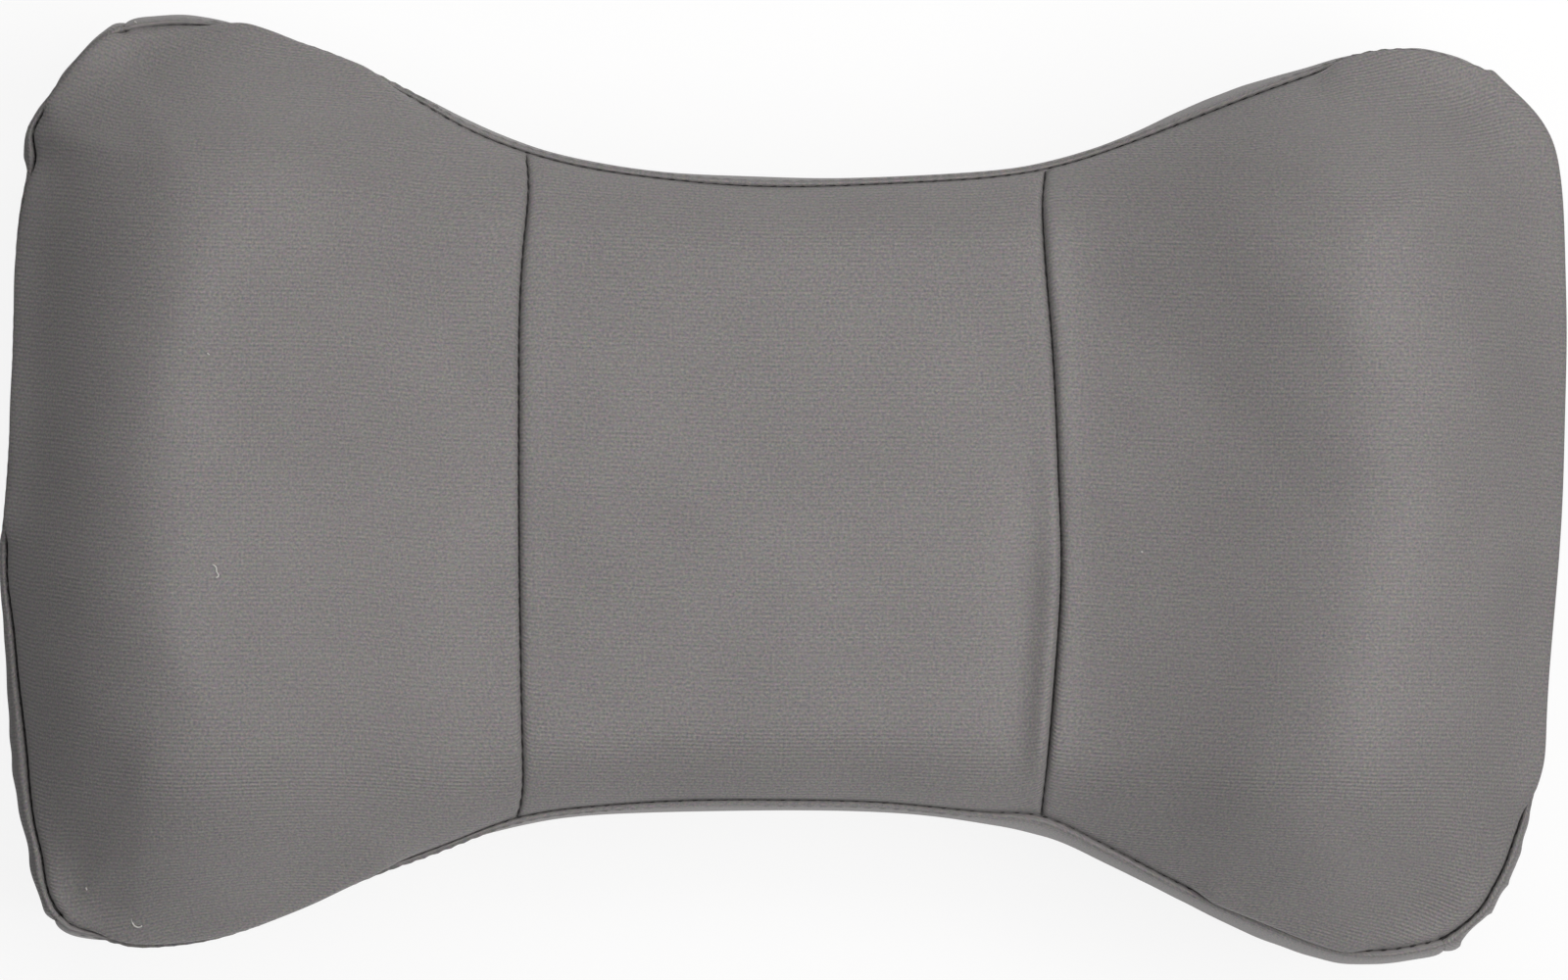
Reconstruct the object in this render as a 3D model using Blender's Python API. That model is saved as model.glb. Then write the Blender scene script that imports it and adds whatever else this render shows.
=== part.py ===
"""Car neck pillow: a bone-shaped foam block in a sewn, boxed knit cover.

The pillow lies on its back. +Z is the face that the neck rests on, X runs from lobe to lobe and Y runs
across the waist. The origin is on the resting plane, under the middle. Lengths are in metres.
"""

from math import cos, pi, sqrt

import bmesh
import bpy
from mathutils import Vector

# Clearance between pieces that touch
GAP = 0.0003

# Plan, over the bulge of the gussets
LENGTH = 0.300
LOBE_WIDTH = 0.177
WAIST_WIDTH = 0.121
WAIST_RUN = 0.028
LOBE_END = 0.0305
END_FULLNESS = 2.7
CORNER_SETBACK = 0.017
GUSSET_BULGE = 0.002

# Heights above the resting plane
LOBE_HEIGHT = 0.095
HOLLOW_HEIGHT = 0.066
LOBE_SEAM_HEIGHT = 0.056
HOLLOW_SEAM_HEIGHT = 0.049
BACK_SEAM_HEIGHT = 0.007

# Run of the slope between the hollow and a lobe's crest, measured from the middle
HOLLOW_RUN = 0.044
CREST_RUN = 0.106

# Radii of the rounded edges, in plan
LOBE_ROLL = 0.024
HOLLOW_ROLL = 0.013
END_ROLL = 0.036
BACK_ROLL = 0.008

# Cover
FABRIC = 0.0015
CENTRE_PANEL_WIDTH = 0.101

# Zip chain in the back
ZIP_LENGTH = 0.180
ZIP_EDGE_MARGIN = 0.002
SLOT_WIDTH = 0.0106
SLOT_TAPER = 0.010
FURROW_WIDTH = 0.025
FURROW_FADE = 0.014
TAPE_WIDTH = 0.008
TAPE_THICKNESS = 0.0005
TAPE_OVERRUN = 0.004
COIL_WIDTH = 0.002
COIL_HEIGHT = 0.0016
COIL_SETBACK = 0.012
STOP_LENGTH = 0.002

# Slider and pull
SLIDER_LENGTH = 0.011
SLIDER_WIDTH = 0.009
SLIDER_PLATE = 0.0009
SLIDER_WEB = 0.0004
SLIDER_LIP = 0.0007
BRIDGE_OPENING = 0.003
BRIDGE_THICKNESS = 0.0007
BRIDGE_WIDTH = 0.002
BRIDGE_LIFT = 0.0004
PULL_THICKNESS = 0.0012
PULL_WIDTH = 0.006
PULL_LENGTH = 0.020
PULL_HOLE_MARGIN = 0.0004

# Elastic band
STRAP_WIDTH = 0.025
STRAP_LENGTH = 0.256
STRAP_THICKNESS = 0.0012
GROOVE_SLOPE = 0.002

# Grid lines of the cover
FRONT_EDGE_LINES = 5
BACK_EDGE_LINES = 4
LOBE_COLUMNS = 5
CENTRE_COLUMNS = 7
BACK_COLUMNS = 7
FRONT_ROWS = 11
BACK_UPPER_ROWS = 2
BACK_LOWER_ROWS = 1
GUSSET_BANDS = 4

# Half sizes and stations that follow from the driving sizes
HALF_LENGTH = LENGTH / 2 - GUSSET_BULGE
HALF_LOBE = LOBE_WIDTH / 2 - GUSSET_BULGE
HALF_WAIST = WAIST_WIDTH / 2 - GUSSET_BULGE
CROWN_X = HALF_LENGTH - LOBE_END
CORNER_X = HALF_LENGTH - CORNER_SETBACK
HALF_ZIP = ZIP_LENGTH / 2
HALF_SLOT = SLOT_WIDTH / 2
HALF_FURROW = FURROW_WIDTH / 2
ZIP_Y = -(HALF_WAIST - BACK_ROLL - ZIP_EDGE_MARGIN - HALF_FURROW)
CHAIN_SPLIT = SLIDER_WEB / 2 + GAP
HALF_TAPE = HALF_ZIP + TAPE_OVERRUN
COIL_CLOSED_END = HALF_ZIP - COIL_SETBACK
COIL_OPEN_END = -(COIL_CLOSED_END - (PULL_LENGTH - SLIDER_LENGTH / 2))
HALF_TROUGH = CHAIN_SPLIT + TAPE_WIDTH + GAP
TROUGH_END = HALF_TAPE + GAP
GROOVE_HALF_WIDTH = STRAP_WIDTH / 2 + GAP
GROOVE_END = STRAP_LENGTH / 2 + GAP
GROOVE_DEPTH = STRAP_THICKNESS + GAP

# Levels of the zip, from its outermost face inwards
PULL_AXIS_Z = BRIDGE_LIFT + BRIDGE_THICKNESS + GAP + PULL_THICKNESS / 2
OUTER_PLATE_Z = PULL_AXIS_Z + PULL_THICKNESS / 2 + GAP
COIL_Z = OUTER_PLATE_Z + SLIDER_PLATE + GAP
TAPE_Z = COIL_Z + COIL_HEIGHT + GAP
INNER_PLATE_Z = TAPE_Z + TAPE_THICKNESS + GAP
TROUGH_Z = INNER_PLATE_Z + SLIDER_PLATE + GAP
FURROW_DEPTH = TAPE_Z - GAP - FABRIC

# The slider rests at the closed end, and at the open end its pull still lies inside the slot
SLIDER_X = COIL_CLOSED_END - SLIDER_LENGTH / 2 - GAP

# Normals are measured over a short step of the grid
NORMAL_STEP = 0.001

# Colours in linear light, with roughness and metallic value
GREY_KNIT = ((0.235, 0.224, 0.220), 0.85, 0.0)
GREY_GUSSET_KNIT = ((0.205, 0.196, 0.193), 0.85, 0.0)
CREAM_FOAM = ((0.79, 0.72, 0.55), 0.95, 0.0)
GREY_TAPE = ((0.150, 0.145, 0.143), 0.8, 0.0)
GREY_NYLON = ((0.120, 0.116, 0.114), 0.45, 0.0)
GREY_ZINC = ((0.260, 0.255, 0.250), 0.35, 1.0)
GREY_ELASTIC = ((0.060, 0.058, 0.057), 0.8, 0.0)


def smoothstep(share):
    """Ease a share of 0 to 1, held at its ends."""
    share = min(max(share, 0.0), 1.0)
    return share * share * (3.0 - 2.0 * share)


def blend(start, end, share):
    """Mix two values."""
    return start + (end - start) * share


def lobe_curve(share):
    """Superellipse of a lobe's end: the height left at a share of its run."""
    return max(1.0 - share ** END_FULLNESS, 0.0) ** (1.0 / END_FULLNESS)


def half_width(x):
    """Half the plan width of the seam at length x: waist, slope and the lobe's rounded end."""
    x = abs(x)
    if x <= CROWN_X:
        return blend(HALF_WAIST, HALF_LOBE, smoothstep((x - WAIST_RUN) / (CROWN_X - WAIST_RUN)))
    return HALF_LOBE * lobe_curve((x - CROWN_X) / LOBE_END)


def half_length(y):
    """Half the plan length of the seam at width y, round a lobe's end."""
    return CROWN_X + LOBE_END * lobe_curve(abs(y) / HALF_LOBE)


CORNER_Y = half_width(CORNER_X)


def plan(u, v):
    """Plan point of the cover's grid: u is 1 on the end seams and v is 1 on the long seams."""
    end = half_length(v * CORNER_Y)
    return u * (CORNER_X + (end - CORNER_X) * abs(u) ** 3), v * half_width(u * CORNER_X)


def column_at(x):
    """The u of the grid column that crosses the middle line at length x."""
    low, high = 0.0, 1.0
    for _ in range(40):
        middle = (low + high) / 2
        if plan(middle, 0.0)[0] < abs(x):
            low = middle
        else:
            high = middle
    return high if x >= 0 else -high


def row_at(u, y):
    """The v at width y in the column u."""
    return y / half_width(u * CORNER_X)


def edge_distances(u, v):
    """Distances of a grid point from the long seam and from the end seam."""
    x, y = plan(u, v)
    return half_width(u * CORNER_X) - abs(y), half_length(v * CORNER_Y) - abs(x)


def rolled(distance, radius):
    """Height share of a rounded edge: 0 at the seam, 1 from one radius inwards."""
    left = max(1.0 - distance / radius, 0.0)
    return sqrt(max(1.0 - left * left, 0.0))


def lobe_share(x):
    """0 in the hollow, 1 on a lobe's crest."""
    return smoothstep((abs(x) - HOLLOW_RUN) / (CREST_RUN - HOLLOW_RUN))


def side_roll(x):
    """Radius of the face's rounded long edge."""
    return blend(HOLLOW_ROLL, LOBE_ROLL, lobe_share(x))


def seam_height(x):
    """Height of the seam between the face and the gussets."""
    return blend(HOLLOW_SEAM_HEIGHT, LOBE_SEAM_HEIGHT, lobe_share(x))


def front_surface(u, v):
    """Outer face of the front: hollow, slopes, lobes and rounded edges."""
    x, y = plan(u, v)
    side, end = edge_distances(u, v)
    seam = seam_height(x)
    rise = blend(HOLLOW_HEIGHT, LOBE_HEIGHT, lobe_share(x)) - seam
    return Vector((x, y, seam + rise * rolled(side, side_roll(x)) * rolled(end, END_ROLL)))


def slot_half(x):
    """Half the slot between the back panels: open along the zip, a plain seam beyond it."""
    return blend(GAP / 2, HALF_SLOT, smoothstep((HALF_ZIP - abs(x)) / SLOT_TAPER))


def furrow_height(x, y):
    """How far the back is drawn in along the zip."""
    along = smoothstep((HALF_ZIP + FURROW_FADE - abs(x)) / (FURROW_FADE + SLOT_TAPER))
    across = smoothstep((HALF_FURROW - abs(y - ZIP_Y)) / (HALF_FURROW - HALF_SLOT))
    return FURROW_DEPTH * along * across


def groove_height(x, y):
    """How far the elastic band is pressed into the back."""
    along = smoothstep(1.0 - (abs(x) - GROOVE_END) / GROOVE_SLOPE)
    across = smoothstep(1.0 - (abs(y) - GROOVE_HALF_WIDTH) / GROOVE_SLOPE)
    return GROOVE_DEPTH * along * across


def back_surface(u, v):
    """Outer face of the back: flat, with rounded edges, the zip's furrow and the band's groove."""
    x, y = plan(u, v)
    side, end = edge_distances(u, v)
    flat = rolled(side, BACK_ROLL) * rolled(end, BACK_ROLL)
    return Vector((x, y, BACK_SEAM_HEIGHT * (1.0 - flat) + flat * (furrow_height(x, y) + groove_height(x, y))))


def edge_outwards(u, v):
    """Plan direction that points out of the pillow at the seam point (u, v)."""
    if abs(v) == 1.0:
        (x0, y0), (x1, y1) = plan(u - NORMAL_STEP, v), plan(u + NORMAL_STEP, v)
        return Vector((y0 - y1, x1 - x0)).normalized() * v
    (x0, y0), (x1, y1) = plan(u, v - NORMAL_STEP), plan(u, v + NORMAL_STEP)
    return Vector((y1 - y0, x0 - x1)).normalized() * u


def inset(surface, u, v, depth):
    """Point of the front or the back moved depth into the pillow, square to its surface."""
    if max(abs(u), abs(v)) == 1.0:
        return surface(u, v) - edge_outwards(u, v).to_3d() * depth
    along_u = surface(u + NORMAL_STEP, v) - surface(u - NORMAL_STEP, v)
    along_v = surface(u, v + NORMAL_STEP) - surface(u, v - NORMAL_STEP)
    inwards = along_u.cross(along_v).normalized()
    if surface is front_surface:
        inwards.negate()
    return surface(u, v) + inwards * depth


def gusset_point(u, v, share, depth):
    """Point of the side wall over the seam point (u, v), from the back seam to the front seam."""
    x, y = plan(u, v)
    outwards = edge_outwards(u, v) * (GUSSET_BULGE * (1.0 - (2.0 * share - 1.0) ** 2) - depth)
    height = blend(BACK_SEAM_HEIGHT, seam_height(x), share)
    return Vector((x + outwards.x, y + outwards.y, height))


def edge_steps(radius, lines):
    """Distances from the seam to the grid lines that follow a rounded edge."""
    return [radius * (1.0 - cos(pi / 2 * line / (lines - 1))) for line in range(lines)]


def mirrored(values):
    """A rising list of positive values with its mirror image before it."""
    return [-value for value in reversed(values)] + list(values)


def even_steps(low, high, count):
    """Values that divide the run from low to high evenly, with the ends left out."""
    return [blend(low, high, step / (count + 1)) for step in range(1, count + 1)]


def front_columns():
    """Grid columns of the front: rounded ends, the two seams and even steps between them."""
    edge = sorted(column_at(HALF_LENGTH - step) for step in edge_steps(END_ROLL, FRONT_EDGE_LINES))
    seam = column_at(CENTRE_PANEL_WIDTH / 2)
    lobe = even_steps(seam, edge[0], LOBE_COLUMNS)
    return sorted(mirrored([seam] + lobe + edge) + even_steps(-seam, seam, CENTRE_COLUMNS))


def front_rows(u):
    """Grid rows of the front in column u."""
    edge_y = half_width(u * CORNER_X)
    edge = sorted(edge_y - step for step in edge_steps(side_roll(u * CORNER_X), FRONT_EDGE_LINES))
    return [row_at(u, y) for y in sorted(mirrored(edge) + even_steps(-edge[0], edge[0], FRONT_ROWS))]


def back_columns():
    """Grid columns of the back: rounded ends, the crown, the band's and the zip's ends, and even steps."""
    edge = [HALF_LENGTH - step for step in edge_steps(BACK_ROLL, BACK_EDGE_LINES)]
    band = [CROWN_X, GROOVE_END, GROOVE_END + GROOVE_SLOPE]
    zip_end = [HALF_ZIP - SLOT_TAPER, HALF_ZIP, TROUGH_END, HALF_ZIP + FURROW_FADE]
    inside = even_steps(-zip_end[0], zip_end[0], BACK_COLUMNS)
    return [column_at(x) for x in sorted(mirrored(edge + band + zip_end) + inside)]


def back_edge_rows(u):
    """Widths of the grid rows on the back's rounded long edge in column u."""
    edge_y = half_width(u * CORNER_X)
    return sorted(edge_y - step for step in edge_steps(BACK_ROLL, BACK_EDGE_LINES))


def back_upper_rows(u):
    """Grid rows of the back above the zip in column u."""
    edge = back_edge_rows(u)
    zip_rows = [ZIP_Y + slot_half(plan(u, 0.0)[0]), ZIP_Y + HALF_TROUGH, ZIP_Y + HALF_FURROW]
    band = mirrored([GROOVE_HALF_WIDTH, GROOVE_HALF_WIDTH + GROOVE_SLOPE])
    flat = even_steps(band[-1], edge[0], BACK_UPPER_ROWS)
    return [row_at(u, y) for y in sorted(zip_rows + band + flat + edge)]


def back_lower_rows(u):
    """Grid rows of the back below the zip in column u."""
    edge = [-y for y in reversed(back_edge_rows(u))]
    zip_rows = [ZIP_Y - HALF_FURROW, ZIP_Y - HALF_TROUGH, ZIP_Y - slot_half(plan(u, 0.0)[0])]
    flat = even_steps(edge[-1], zip_rows[0], BACK_LOWER_ROWS)
    return [row_at(u, y) for y in sorted(edge + flat + zip_rows)]


def foam_back_rows(u):
    """Grid rows of the foam's back in column u, with the slot held open from end to end."""
    slot = [row_at(u, ZIP_Y - HALF_SLOT), row_at(u, ZIP_Y + HALF_SLOT)]
    return back_lower_rows(u)[:-1] + slot + back_upper_rows(u)[1:]


def between(lines, low, high):
    """The grid lines from low to high, both included."""
    return [low] + [line for line in lines if low < line < high] + [high]


def finish(name, mesh_data, look):
    """Make one named object with its own material from a bmesh."""
    colour, roughness, metallic = look
    mesh = bpy.data.meshes.new(name)
    bmesh.ops.recalc_face_normals(mesh_data, faces=mesh_data.faces)
    mesh_data.to_mesh(mesh)
    mesh_data.free()
    material = bpy.data.materials.new(name)
    material.use_nodes = True
    shader = material.node_tree.nodes["Principled BSDF"]
    shader.inputs["Base Color"].default_value = (*colour, 1.0)
    shader.inputs["Roughness"].default_value = roughness
    shader.inputs["Metallic"].default_value = metallic
    mesh.materials.append(material)
    mesh.shade_smooth()
    mesh.set_sharp_from_angle(angle=pi / 5)
    made = bpy.data.objects.new(name, mesh)
    bpy.context.collection.objects.link(made)
    return made


def add_grid(mesh_data, points):
    """Add a grid of points as quads, and return its vertices in the same rows and columns."""
    grid = [[mesh_data.verts.new(point) for point in line] for line in points]
    for line, following in zip(grid, grid[1:]):
        for step in range(len(line) - 1):
            mesh_data.faces.new((line[step], following[step], following[step + 1], line[step + 1]))
    return grid


def grid_border(grid):
    """The vertices round a grid, in order."""
    first, last = grid[0], grid[-1]
    rows_up = [line[-1] for line in grid[1:-1]]
    rows_down = [line[0] for line in reversed(grid[1:-1])]
    return first + rows_up + last[::-1] + rows_down


def join_loops(mesh_data, loop, following):
    """Close the wall between two loops of as many vertices."""
    count = len(loop)
    for step in range(count):
        after = (step + 1) % count
        mesh_data.faces.new((loop[step], loop[after], following[after], following[step]))


def split_quads(mesh_data):
    """Cut each quad along its shorter diagonal, so that facing surfaces are folded alike."""
    bmesh.ops.triangulate(mesh_data, faces=mesh_data.faces, quad_method="SHORT_EDGE")


def sewn_sheet(name, point_at, stations, look):
    """A piece of the cover: point_at gives its outer face at depth 0 and its inner face one fabric deeper."""
    sheet = bmesh.new()
    outer = add_grid(sheet, [[point_at(*place, 0.0) for place in line] for line in stations])
    inner = add_grid(sheet, [[point_at(*place, FABRIC) for place in line] for line in stations])
    join_loops(sheet, grid_border(outer), grid_border(inner))
    split_quads(sheet)
    return finish(name, sheet, look)


def make_front_panels():
    """Three face panels, sewn edge to edge along two straight seams."""
    columns = front_columns()
    seam = column_at(CENTRE_PANEL_WIDTH / 2)
    half_gap = GAP / 2 / CORNER_X

    def point_at(u, v, depth):
        return inset(front_surface, u, v, depth)

    spans = {
        "front_panel_left": (-1.0, -seam - half_gap),
        "front_panel_centre": (-seam + half_gap, seam - half_gap),
        "front_panel_right": (seam + half_gap, 1.0),
    }
    for name, (low, high) in spans.items():
        stations = [[(u, v) for v in front_rows(u)] for u in between(columns, low, high)]
        sewn_sheet(name, point_at, stations, GREY_KNIT)


def wall_lines(front_lines, back_lines, reach):
    """Grid lines of a side wall, cut to a reach: each runs from a line of the back to one of the front."""
    fronts, backs = ([-reach] + lines[1:-1] + [reach] for lines in (front_lines, back_lines))
    bands = range(GUSSET_BANDS + 1)
    return [[(blend(back, front, band / GUSSET_BANDS), band) for band in bands]
            for front, back in zip(fronts, backs)]


def make_gussets():
    """Four boxing strips, joined at the corners, between the back seam and the front seam."""

    def point_at(u, v, band, depth):
        height = seam_height(plan(u, v)[0]) - BACK_SEAM_HEIGHT
        trim = GAP / height
        return gusset_point(u, v, blend(trim, 1.0 - trim, band / GUSSET_BANDS), depth)

    long_lines = wall_lines(front_columns(), back_columns(), 1.0 - GAP / 2 / CORNER_X)
    for name, v in (("top_gusset", 1.0), ("bottom_gusset", -1.0)):
        sewn_sheet(name, point_at, [[(u, v, band) for u, band in line] for line in long_lines], GREY_GUSSET_KNIT)
    end_lines = wall_lines(front_rows(1.0), foam_back_rows(1.0), 1.0 - GAP / 2 / CORNER_Y)
    for name, u in (("left_end_gusset", -1.0), ("right_end_gusset", 1.0)):
        sewn_sheet(name, point_at, [[(u, v, band) for v, band in line] for line in end_lines], GREY_GUSSET_KNIT)


def make_back_panels():
    """Two back panels, one on each side of the zip."""

    def point_at(u, v, depth):
        return inset(back_surface, u, v, depth)

    for name, rows in (("back_panel_upper", back_upper_rows), ("back_panel_lower", back_lower_rows)):
        stations = [[(u, v) for v in rows(u)] for u in back_columns()]
        sewn_sheet(name, point_at, stations, GREY_KNIT)


def within(x, y, reach_x, reach_y):
    """Whether a plan point lies on or inside the box of these half sizes round the zip."""
    return abs(x) <= reach_x + GAP and abs(y - ZIP_Y) <= reach_y + GAP


def foam_back_point(u, v, depth):
    """Point of the foam's back: it follows the cover, eases off round the zip and has a trough for it."""
    x, y = plan(u, v)
    if within(x, y, TROUGH_END, HALF_TROUGH):
        return Vector((x, y, TROUGH_Z))
    if within(x, y, HALF_ZIP + FURROW_FADE, HALF_FURROW):
        return inset(back_surface, u, v, depth + GAP)
    return inset(back_surface, u, v, depth)


def make_foam_core():
    """One moulded block that fills the cover."""
    depth = FABRIC + GAP
    foam = bmesh.new()
    front_places = [[(u, v) for v in front_rows(u)] for u in front_columns()]
    back_places = [[(u, v) for v in foam_back_rows(u)] for u in back_columns()]
    front = add_grid(foam, [[inset(front_surface, u, v, depth) for u, v in line] for line in front_places])
    back = add_grid(foam, [[foam_back_point(u, v, depth) for u, v in line] for line in back_places])
    front_border, back_border = grid_border(front_places), grid_border(back_places)
    loop = grid_border(front)
    for band in range(GUSSET_BANDS - 1, 0, -1):
        share = band / GUSSET_BANDS
        ring = []
        for (front_u, front_v), (back_u, back_v) in zip(front_border, back_border):
            u, v = blend(back_u, front_u, share), blend(back_v, front_v, share)
            ring.append(foam.verts.new(gusset_point(u, v, share, depth)))
        join_loops(foam, loop, ring)
        loop = ring
    join_loops(foam, loop, grid_border(back))
    split_quads(foam)
    finish("foam_core", foam, CREAM_FOAM)


def box_data(low, high):
    """A bmesh box between two corners."""
    box = bmesh.new()
    bmesh.ops.create_cube(box, size=1.0)
    low, high = Vector(low), Vector(high)
    bmesh.ops.scale(box, vec=high - low, verts=box.verts)
    bmesh.ops.translate(box, vec=(low + high) / 2, verts=box.verts)
    return box


def make_box(name, low, high, look, bevel):
    """A box with eased edges."""
    made = finish(name, box_data(low, high), look)
    edges = made.modifiers.new("eased edges", "BEVEL")
    edges.width = bevel
    edges.segments = 1
    return made


def make_zip_chain():
    """Two tapes with their coil rows, split by the width of the slider's web, and a stop at each end."""
    outer_coil = CHAIN_SPLIT + COIL_WIDTH
    for name, side in (("upper", 1), ("lower", -1)):
        inner_y, tape_y, coil_y = (ZIP_Y + side * reach for reach in
                                   (CHAIN_SPLIT, CHAIN_SPLIT + TAPE_WIDTH, outer_coil))
        low_y, high_y = sorted((inner_y, tape_y))
        tape = box_data((-HALF_TAPE, low_y, TAPE_Z), (HALF_TAPE, high_y, TAPE_Z + TAPE_THICKNESS))
        finish(f"zip_tape_{name}", tape, GREY_TAPE)
        low_y, high_y = sorted((inner_y, coil_y))
        make_box(f"zip_coil_{name}", (COIL_OPEN_END, low_y, COIL_Z),
                 (COIL_CLOSED_END, high_y, COIL_Z + COIL_HEIGHT), GREY_NYLON, COIL_HEIGHT / 4)
    stops = {"zip_stop_closed": COIL_CLOSED_END + GAP, "zip_stop_open": COIL_OPEN_END - GAP - STOP_LENGTH}
    for name, low_x in stops.items():
        make_box(name, (low_x, ZIP_Y - outer_coil, COIL_Z),
                 (low_x + STOP_LENGTH, ZIP_Y + outer_coil, COIL_Z + COIL_HEIGHT), GREY_ZINC, COIL_HEIGHT / 4)


def extruded(outline, axis, low, high):
    """A bmesh prism: an outline in the plane square to axis, from low to high along it."""
    order = {"X": lambda a, b: (low, a, b), "Y": lambda a, b: (a, low, b)}[axis]
    prism = bmesh.new()
    face = prism.faces.new([prism.verts.new(order(a, b)) for a, b in outline])
    moved = bmesh.ops.extrude_face_region(prism, geom=[face])
    tops = [part for part in moved["geom"] if isinstance(part, bmesh.types.BMVert)]
    reach = Vector((high - low, 0.0, 0.0)) if axis == "X" else Vector((0.0, high - low, 0.0))
    bmesh.ops.translate(prism, vec=reach, verts=tops)
    return prism


def join_solids(target, tool, operation):
    """Add a tool to a target, or cut it out, and keep the tool as a hidden guide."""
    step = target.modifiers.new(tool.name, "BOOLEAN")
    step.object = tool
    step.operation = operation
    tool.hide_render = True
    tool.display_type = "WIRE"
    tool.parent = target


def make_slider(root):
    """Slider: two plates on a thin web between the coil rows, with the bridge that holds the pull.

    Its outline is given in its own frame: the origin is on the pull's axis.
    """
    half_width_y, half_web = SLIDER_WIDTH / 2, SLIDER_WEB / 2
    outer, inner = OUTER_PLATE_Z - PULL_AXIS_Z, INNER_PLATE_Z - PULL_AXIS_Z
    lip = outer + SLIDER_PLATE + SLIDER_LIP
    lip_y = half_width_y - SLIDER_LIP
    half = [
        (half_web, outer + SLIDER_PLATE), (lip_y, outer + SLIDER_PLATE), (lip_y, lip), (half_width_y, lip),
        (half_width_y, outer),
    ]
    top = [(half_width_y, inner + SLIDER_PLATE), (half_width_y, inner), (half_web, inner)]
    right = top + half
    section = [(-y, z) for y, z in reversed(right)] + right
    slider = finish("zip_slider", extruded(section, "X", -SLIDER_LENGTH / 2, SLIDER_LENGTH / 2), GREY_ZINC)
    inside, outside = BRIDGE_OPENING / 2, BRIDGE_OPENING / 2 + BRIDGE_THICKNESS
    crown, rim = -(PULL_THICKNESS / 2 + GAP), -(PULL_THICKNESS / 2 + GAP + BRIDGE_THICKNESS)
    foot = outer + SLIDER_PLATE / 2
    arch = [
        (-outside, foot), (-outside, rim), (outside, rim), (outside, foot), (inside, foot), (inside, crown),
        (-inside, crown), (-inside, foot),
    ]
    bridge = finish("bridge_guide", extruded(arch, "Y", -BRIDGE_WIDTH / 2, BRIDGE_WIDTH / 2), GREY_ZINC)
    join_solids(slider, bridge, "UNION")
    slider.parent = root
    return slider


def make_pull(root):
    """Pull: a flat tab with a window, whose end bar turns under the slider's bridge."""
    half_bar = PULL_THICKNESS / 2
    window_y = BRIDGE_WIDTH / 2 + PULL_HOLE_MARGIN
    reach_x, reach_z = BRIDGE_OPENING / 2 + BRIDGE_THICKNESS, half_bar + GAP + BRIDGE_THICKNESS
    window_x = sqrt(reach_x ** 2 + reach_z ** 2) + GAP
    pull = make_box("zip_pull", (-PULL_LENGTH, -PULL_WIDTH / 2, -half_bar), (half_bar, PULL_WIDTH / 2, half_bar),
                    GREY_ZINC, PULL_THICKNESS / 6)
    window = finish("window_guide", box_data((-window_x, -window_y, -2 * half_bar), (-half_bar, window_y, 2 * half_bar)),
                    GREY_ZINC)
    join_solids(pull, window, "DIFFERENCE")
    pull.parent = root
    return pull


def make_slider_and_pull():
    """Slider and pull on one guide, whose origin is the pull's axis at the closed end."""
    root = bpy.data.objects.new("slider_guide", None)
    root.location = (SLIDER_X, ZIP_Y, PULL_AXIS_Z)
    bpy.context.collection.objects.link(root)
    make_slider(root)
    make_pull(root)


def make_strap():
    """Elastic band, flush in its groove."""
    low = (-STRAP_LENGTH / 2, -STRAP_WIDTH / 2, GAP / 3)
    high = (STRAP_LENGTH / 2, STRAP_WIDTH / 2, GAP / 3 + STRAP_THICKNESS - GAP / 3)
    make_box("headrest_strap", low, high, GREY_ELASTIC, STRAP_THICKNESS / 4)


def main():
    """Clear the scene and build every piece."""
    for old in list(bpy.data.objects):
        bpy.data.objects.remove(old)
    make_foam_core()
    make_front_panels()
    make_gussets()
    make_back_panels()
    make_zip_chain()
    make_slider_and_pull()
    make_strap()


main()
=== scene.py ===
"""Looks of a boxed, bone-shaped neck pillow: knit cover, foam, zip and headrest band.

The plan is worked in millimetres and turned to metres when a mesh is made. X runs from lobe to lobe,
Y across the waist and Z up, with the resting plane at 0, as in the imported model.
"""

import logging
import math
from dataclasses import dataclass
from enum import Enum

import bpy
import numpy as np
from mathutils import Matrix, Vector


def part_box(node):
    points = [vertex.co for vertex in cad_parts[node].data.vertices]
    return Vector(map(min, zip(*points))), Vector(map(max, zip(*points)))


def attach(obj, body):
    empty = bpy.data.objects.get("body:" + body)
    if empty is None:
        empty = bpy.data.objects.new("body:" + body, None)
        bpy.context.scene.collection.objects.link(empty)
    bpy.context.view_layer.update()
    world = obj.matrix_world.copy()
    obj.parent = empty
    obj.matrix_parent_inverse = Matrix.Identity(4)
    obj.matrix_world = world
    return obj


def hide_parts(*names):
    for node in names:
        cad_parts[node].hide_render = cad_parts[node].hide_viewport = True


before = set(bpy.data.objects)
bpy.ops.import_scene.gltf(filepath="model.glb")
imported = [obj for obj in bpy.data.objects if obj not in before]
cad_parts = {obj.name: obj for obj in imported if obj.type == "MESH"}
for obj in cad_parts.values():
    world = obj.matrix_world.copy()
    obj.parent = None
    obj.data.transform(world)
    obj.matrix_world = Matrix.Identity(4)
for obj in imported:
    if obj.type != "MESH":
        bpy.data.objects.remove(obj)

MM = 0.001
SEED = 11
TURN = 2.0 * math.pi
LOG = logging.getLogger("neck_pillow")
CLOTH = "cloth_mm"
PILLOW_BODY = "pillow"

# Guard against a division by the length of an empty step
TINY = 1e-12
# How fast a domed edge levels out; 1 is a straight slope
DOME_POWER = 2.3
# Samples from which a grid's lines are chosen, and how far a flat seam draws them together
GRID_SAMPLES = 4001
FINE_REACH = 0.04

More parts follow.
